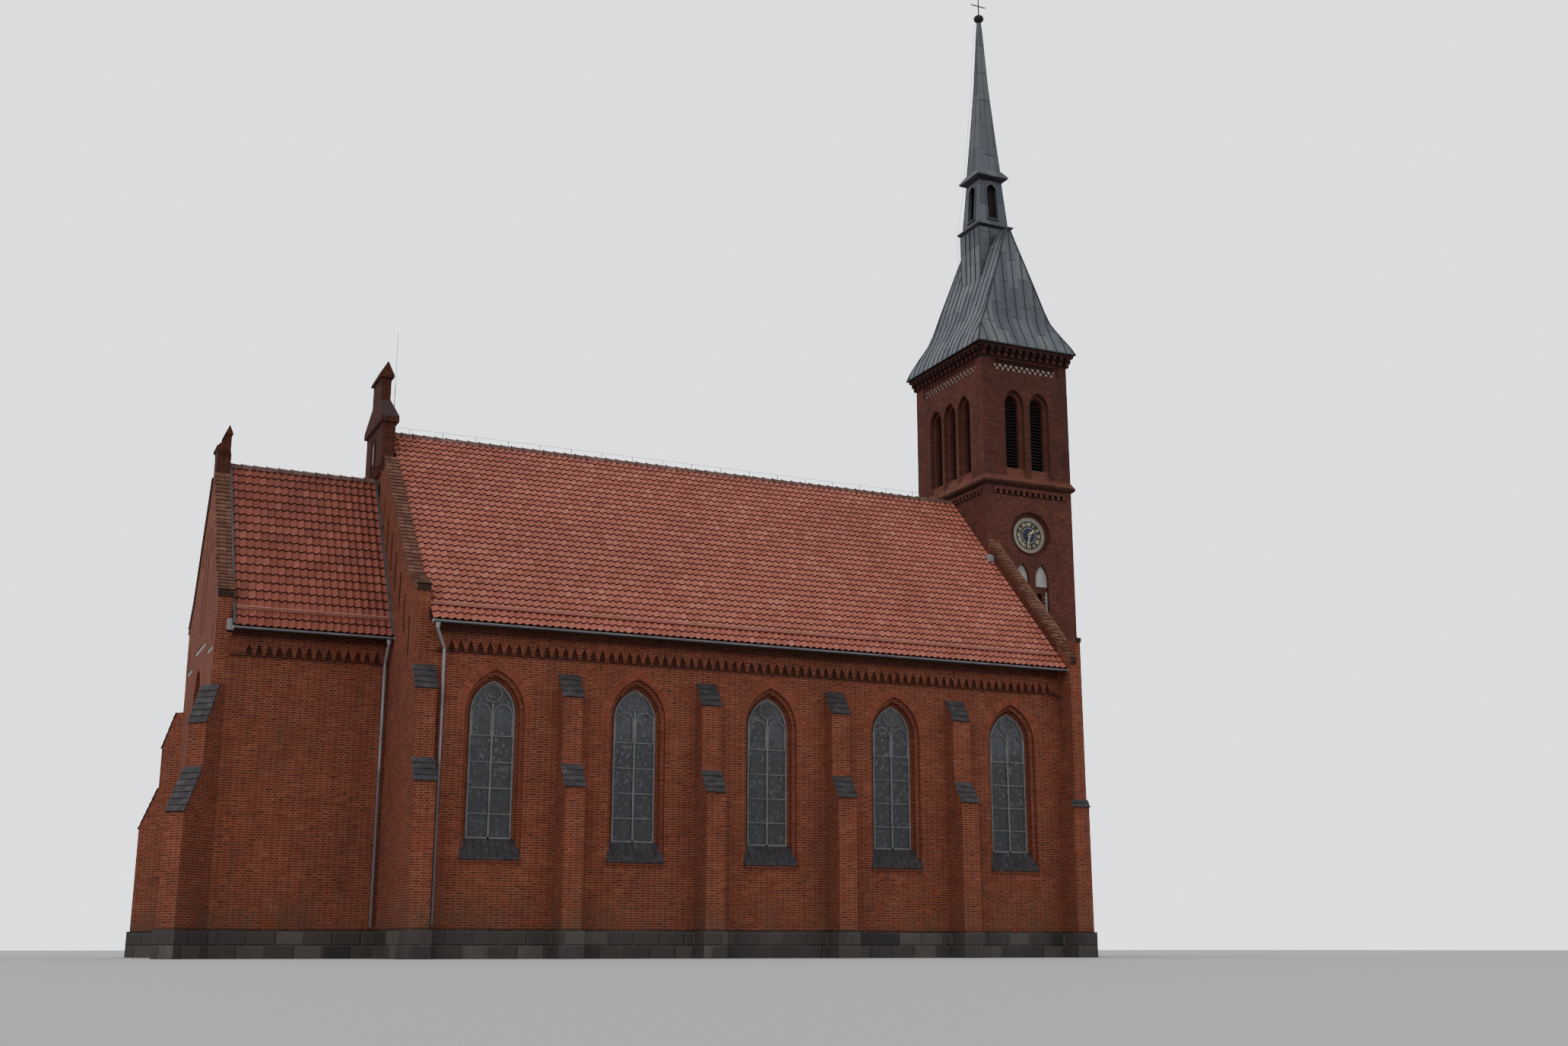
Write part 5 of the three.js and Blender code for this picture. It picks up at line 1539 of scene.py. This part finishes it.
def lappedSlabs(node, west):
    low = realBox(node)[0]
    parts = []
    line = topLine(node)
    for (y0, z0), (y1, z1) in zip(line, line[1:]):
        length = math.hypot(y1 - y0, z1 - z0)
        count = max(1, round(max(abs(z1 - z0) / lap["rise"], length / lap["flat"])))
        step = length / count
        slab = block((low.x - lap["side"], 0, 0), (west + lap["side"], step + lap["over"], lap["thick"]))
        editing(slab, "VERT")
        pick(slab, lambda v: v.co.y < step / 2, "verts")
        bpy.ops.transform.translate(value=(0, 0, lap["lip"]))
        doneEditing()
        row(bevelled(slab, lap["round"]), count, (0, step, 0))
        slab.rotation_euler = (math.atan2(z1 - z0, y1 - y0), 0, 0)
        slab.location = (0, y0, z0 + lap["up"])
        parts.append(setPlace(slab))
    slabs = joined(parts)
    editing(slabs)
    bpy.ops.mesh.bisect(plane_co=low, plane_no=(0, 1, 0), clear_inner=True, use_fill=True)
    doneEditing()
    return slabs


slabsEnd = {  # how far west the slabs of each coping reach
    "nave_east_coping": realBox("nave_east_coping_south")[1].x, "nave_west_coping": 12.65,
    "chancel_coping": realBox("chancel_coping_south")[1].x,
}
for node, west in slabsEnd.items():
    settlePair(lappedSlabs(node + "_south", west), node + "_slabs", copingClay)

gablePlaster = {
    "x": -16.272, "thick": 0.08, "round": 0.002,
    "bands": [(-1.35, 1.35, 9.74, 9.88), (1.93, 3.34, 9.34, 9.48)],
}
panel = {"x": -11.041, "width": 0.34, "foot": 16.75, "spring": 17.3, "rise": 0.3, "thick": 0.004}
hoodMould = {
    "x": -11.04, "width": 0.62, "foot": 16.5, "spring": 17.3, "rise": 0.45, "rim": 0.09, "depth": 0.05,
}
bands = []
for y0, y1, z0, z1 in gablePlaster["bands"]:
    band = block((gablePlaster["x"], y0, z0), (gablePlaster["x"] + gablePlaster["thick"], y1, z1))
    bands.append(bevelled(band, gablePlaster["round"]))
bands.append(toNorth(bands[1]))
bands.append(archPlate(panel["width"], panel["foot"], panel["spring"], panel["rise"], panel["thick"]))
bands[-1].data.transform(faceEast(panel["x"]))
mould = archBar(*(hoodMould[part] for part in ("width", "foot", "spring", "rise", "rim", "depth")))
mould.data.transform(faceEast(hoodMould["x"]))
settle(mould, "pinnacle_arch", naveBrick)
settle(joined(bands), "gable_plaster", plaster)


# Camera, light and floor

shot = {
    "place": (-11.295, -29.3, 0.15), "up": 13.9, "heading": 25.1, "lens": 39.456, "sensor": 36, "far": 500,
}
cameraData = bpy.data.cameras.new("camera")
cameraData.lens = shot["lens"]
cameraData.sensor_width = shot["sensor"]
cameraData.clip_end = shot["far"]
camera = bpy.data.objects.new("camera", cameraData)
camera.location = shot["place"]
camera.rotation_euler = (math.radians(90 + shot["up"]), 0, -math.radians(shot["heading"]))
bpy.context.scene.collection.objects.link(camera)
bpy.context.scene.camera = camera

studio = {
    "sky": (0.80, 0.83, 0.88), "light": 0.85, "backdrop": 2.7, "sun": 0.85, "sunAngle": 70, "sunTilt": 42,
    "sunTurn": -48, "floor": (0.55, 0.55, 0.54), "floorRough": 0.9, "floorSize": 240, "floorZ": -0.002,
}
world = bpy.data.worlds.new("studio")
world.use_nodes = True
background = world.node_tree.nodes["Background"]
background.inputs[0].default_value = (*studio["sky"], 1)
seen = Wire(world.node_tree).node("LightPath", {}, {})  # the backdrop shows brighter than it lights
skyPower = seen * (studio["backdrop"] - studio["light"]) + studio["light"]
world.node_tree.links.new(skyPower.socket, background.inputs[1])
bpy.context.scene.world = world
sunData = bpy.data.lights.new("soft_light", "SUN")
sunData.energy = studio["sun"]
sunData.angle = math.radians(studio["sunAngle"])
sun = bpy.data.objects.new("soft_light", sunData)
sun.rotation_euler = (math.radians(studio["sunTilt"]), 0, math.radians(studio["sunTurn"]))
bpy.context.scene.collection.objects.link(sun)
deselect()
bpy.ops.mesh.primitive_plane_add(size=studio["floorSize"], location=(0, 0, studio["floorZ"]))
floor = bpy.context.object
floor.name = "floor"
floorFinish = bpy.data.materials.new("studio_floor")
floorFinish.use_nodes = True
floorInputs = floorFinish.node_tree.nodes["Principled BSDF"].inputs
floorInputs["Base Color"].default_value = (*studio["floor"], 1)
floorInputs["Roughness"].default_value = studio["floorRough"]
floor.data.materials.append(floorFinish)
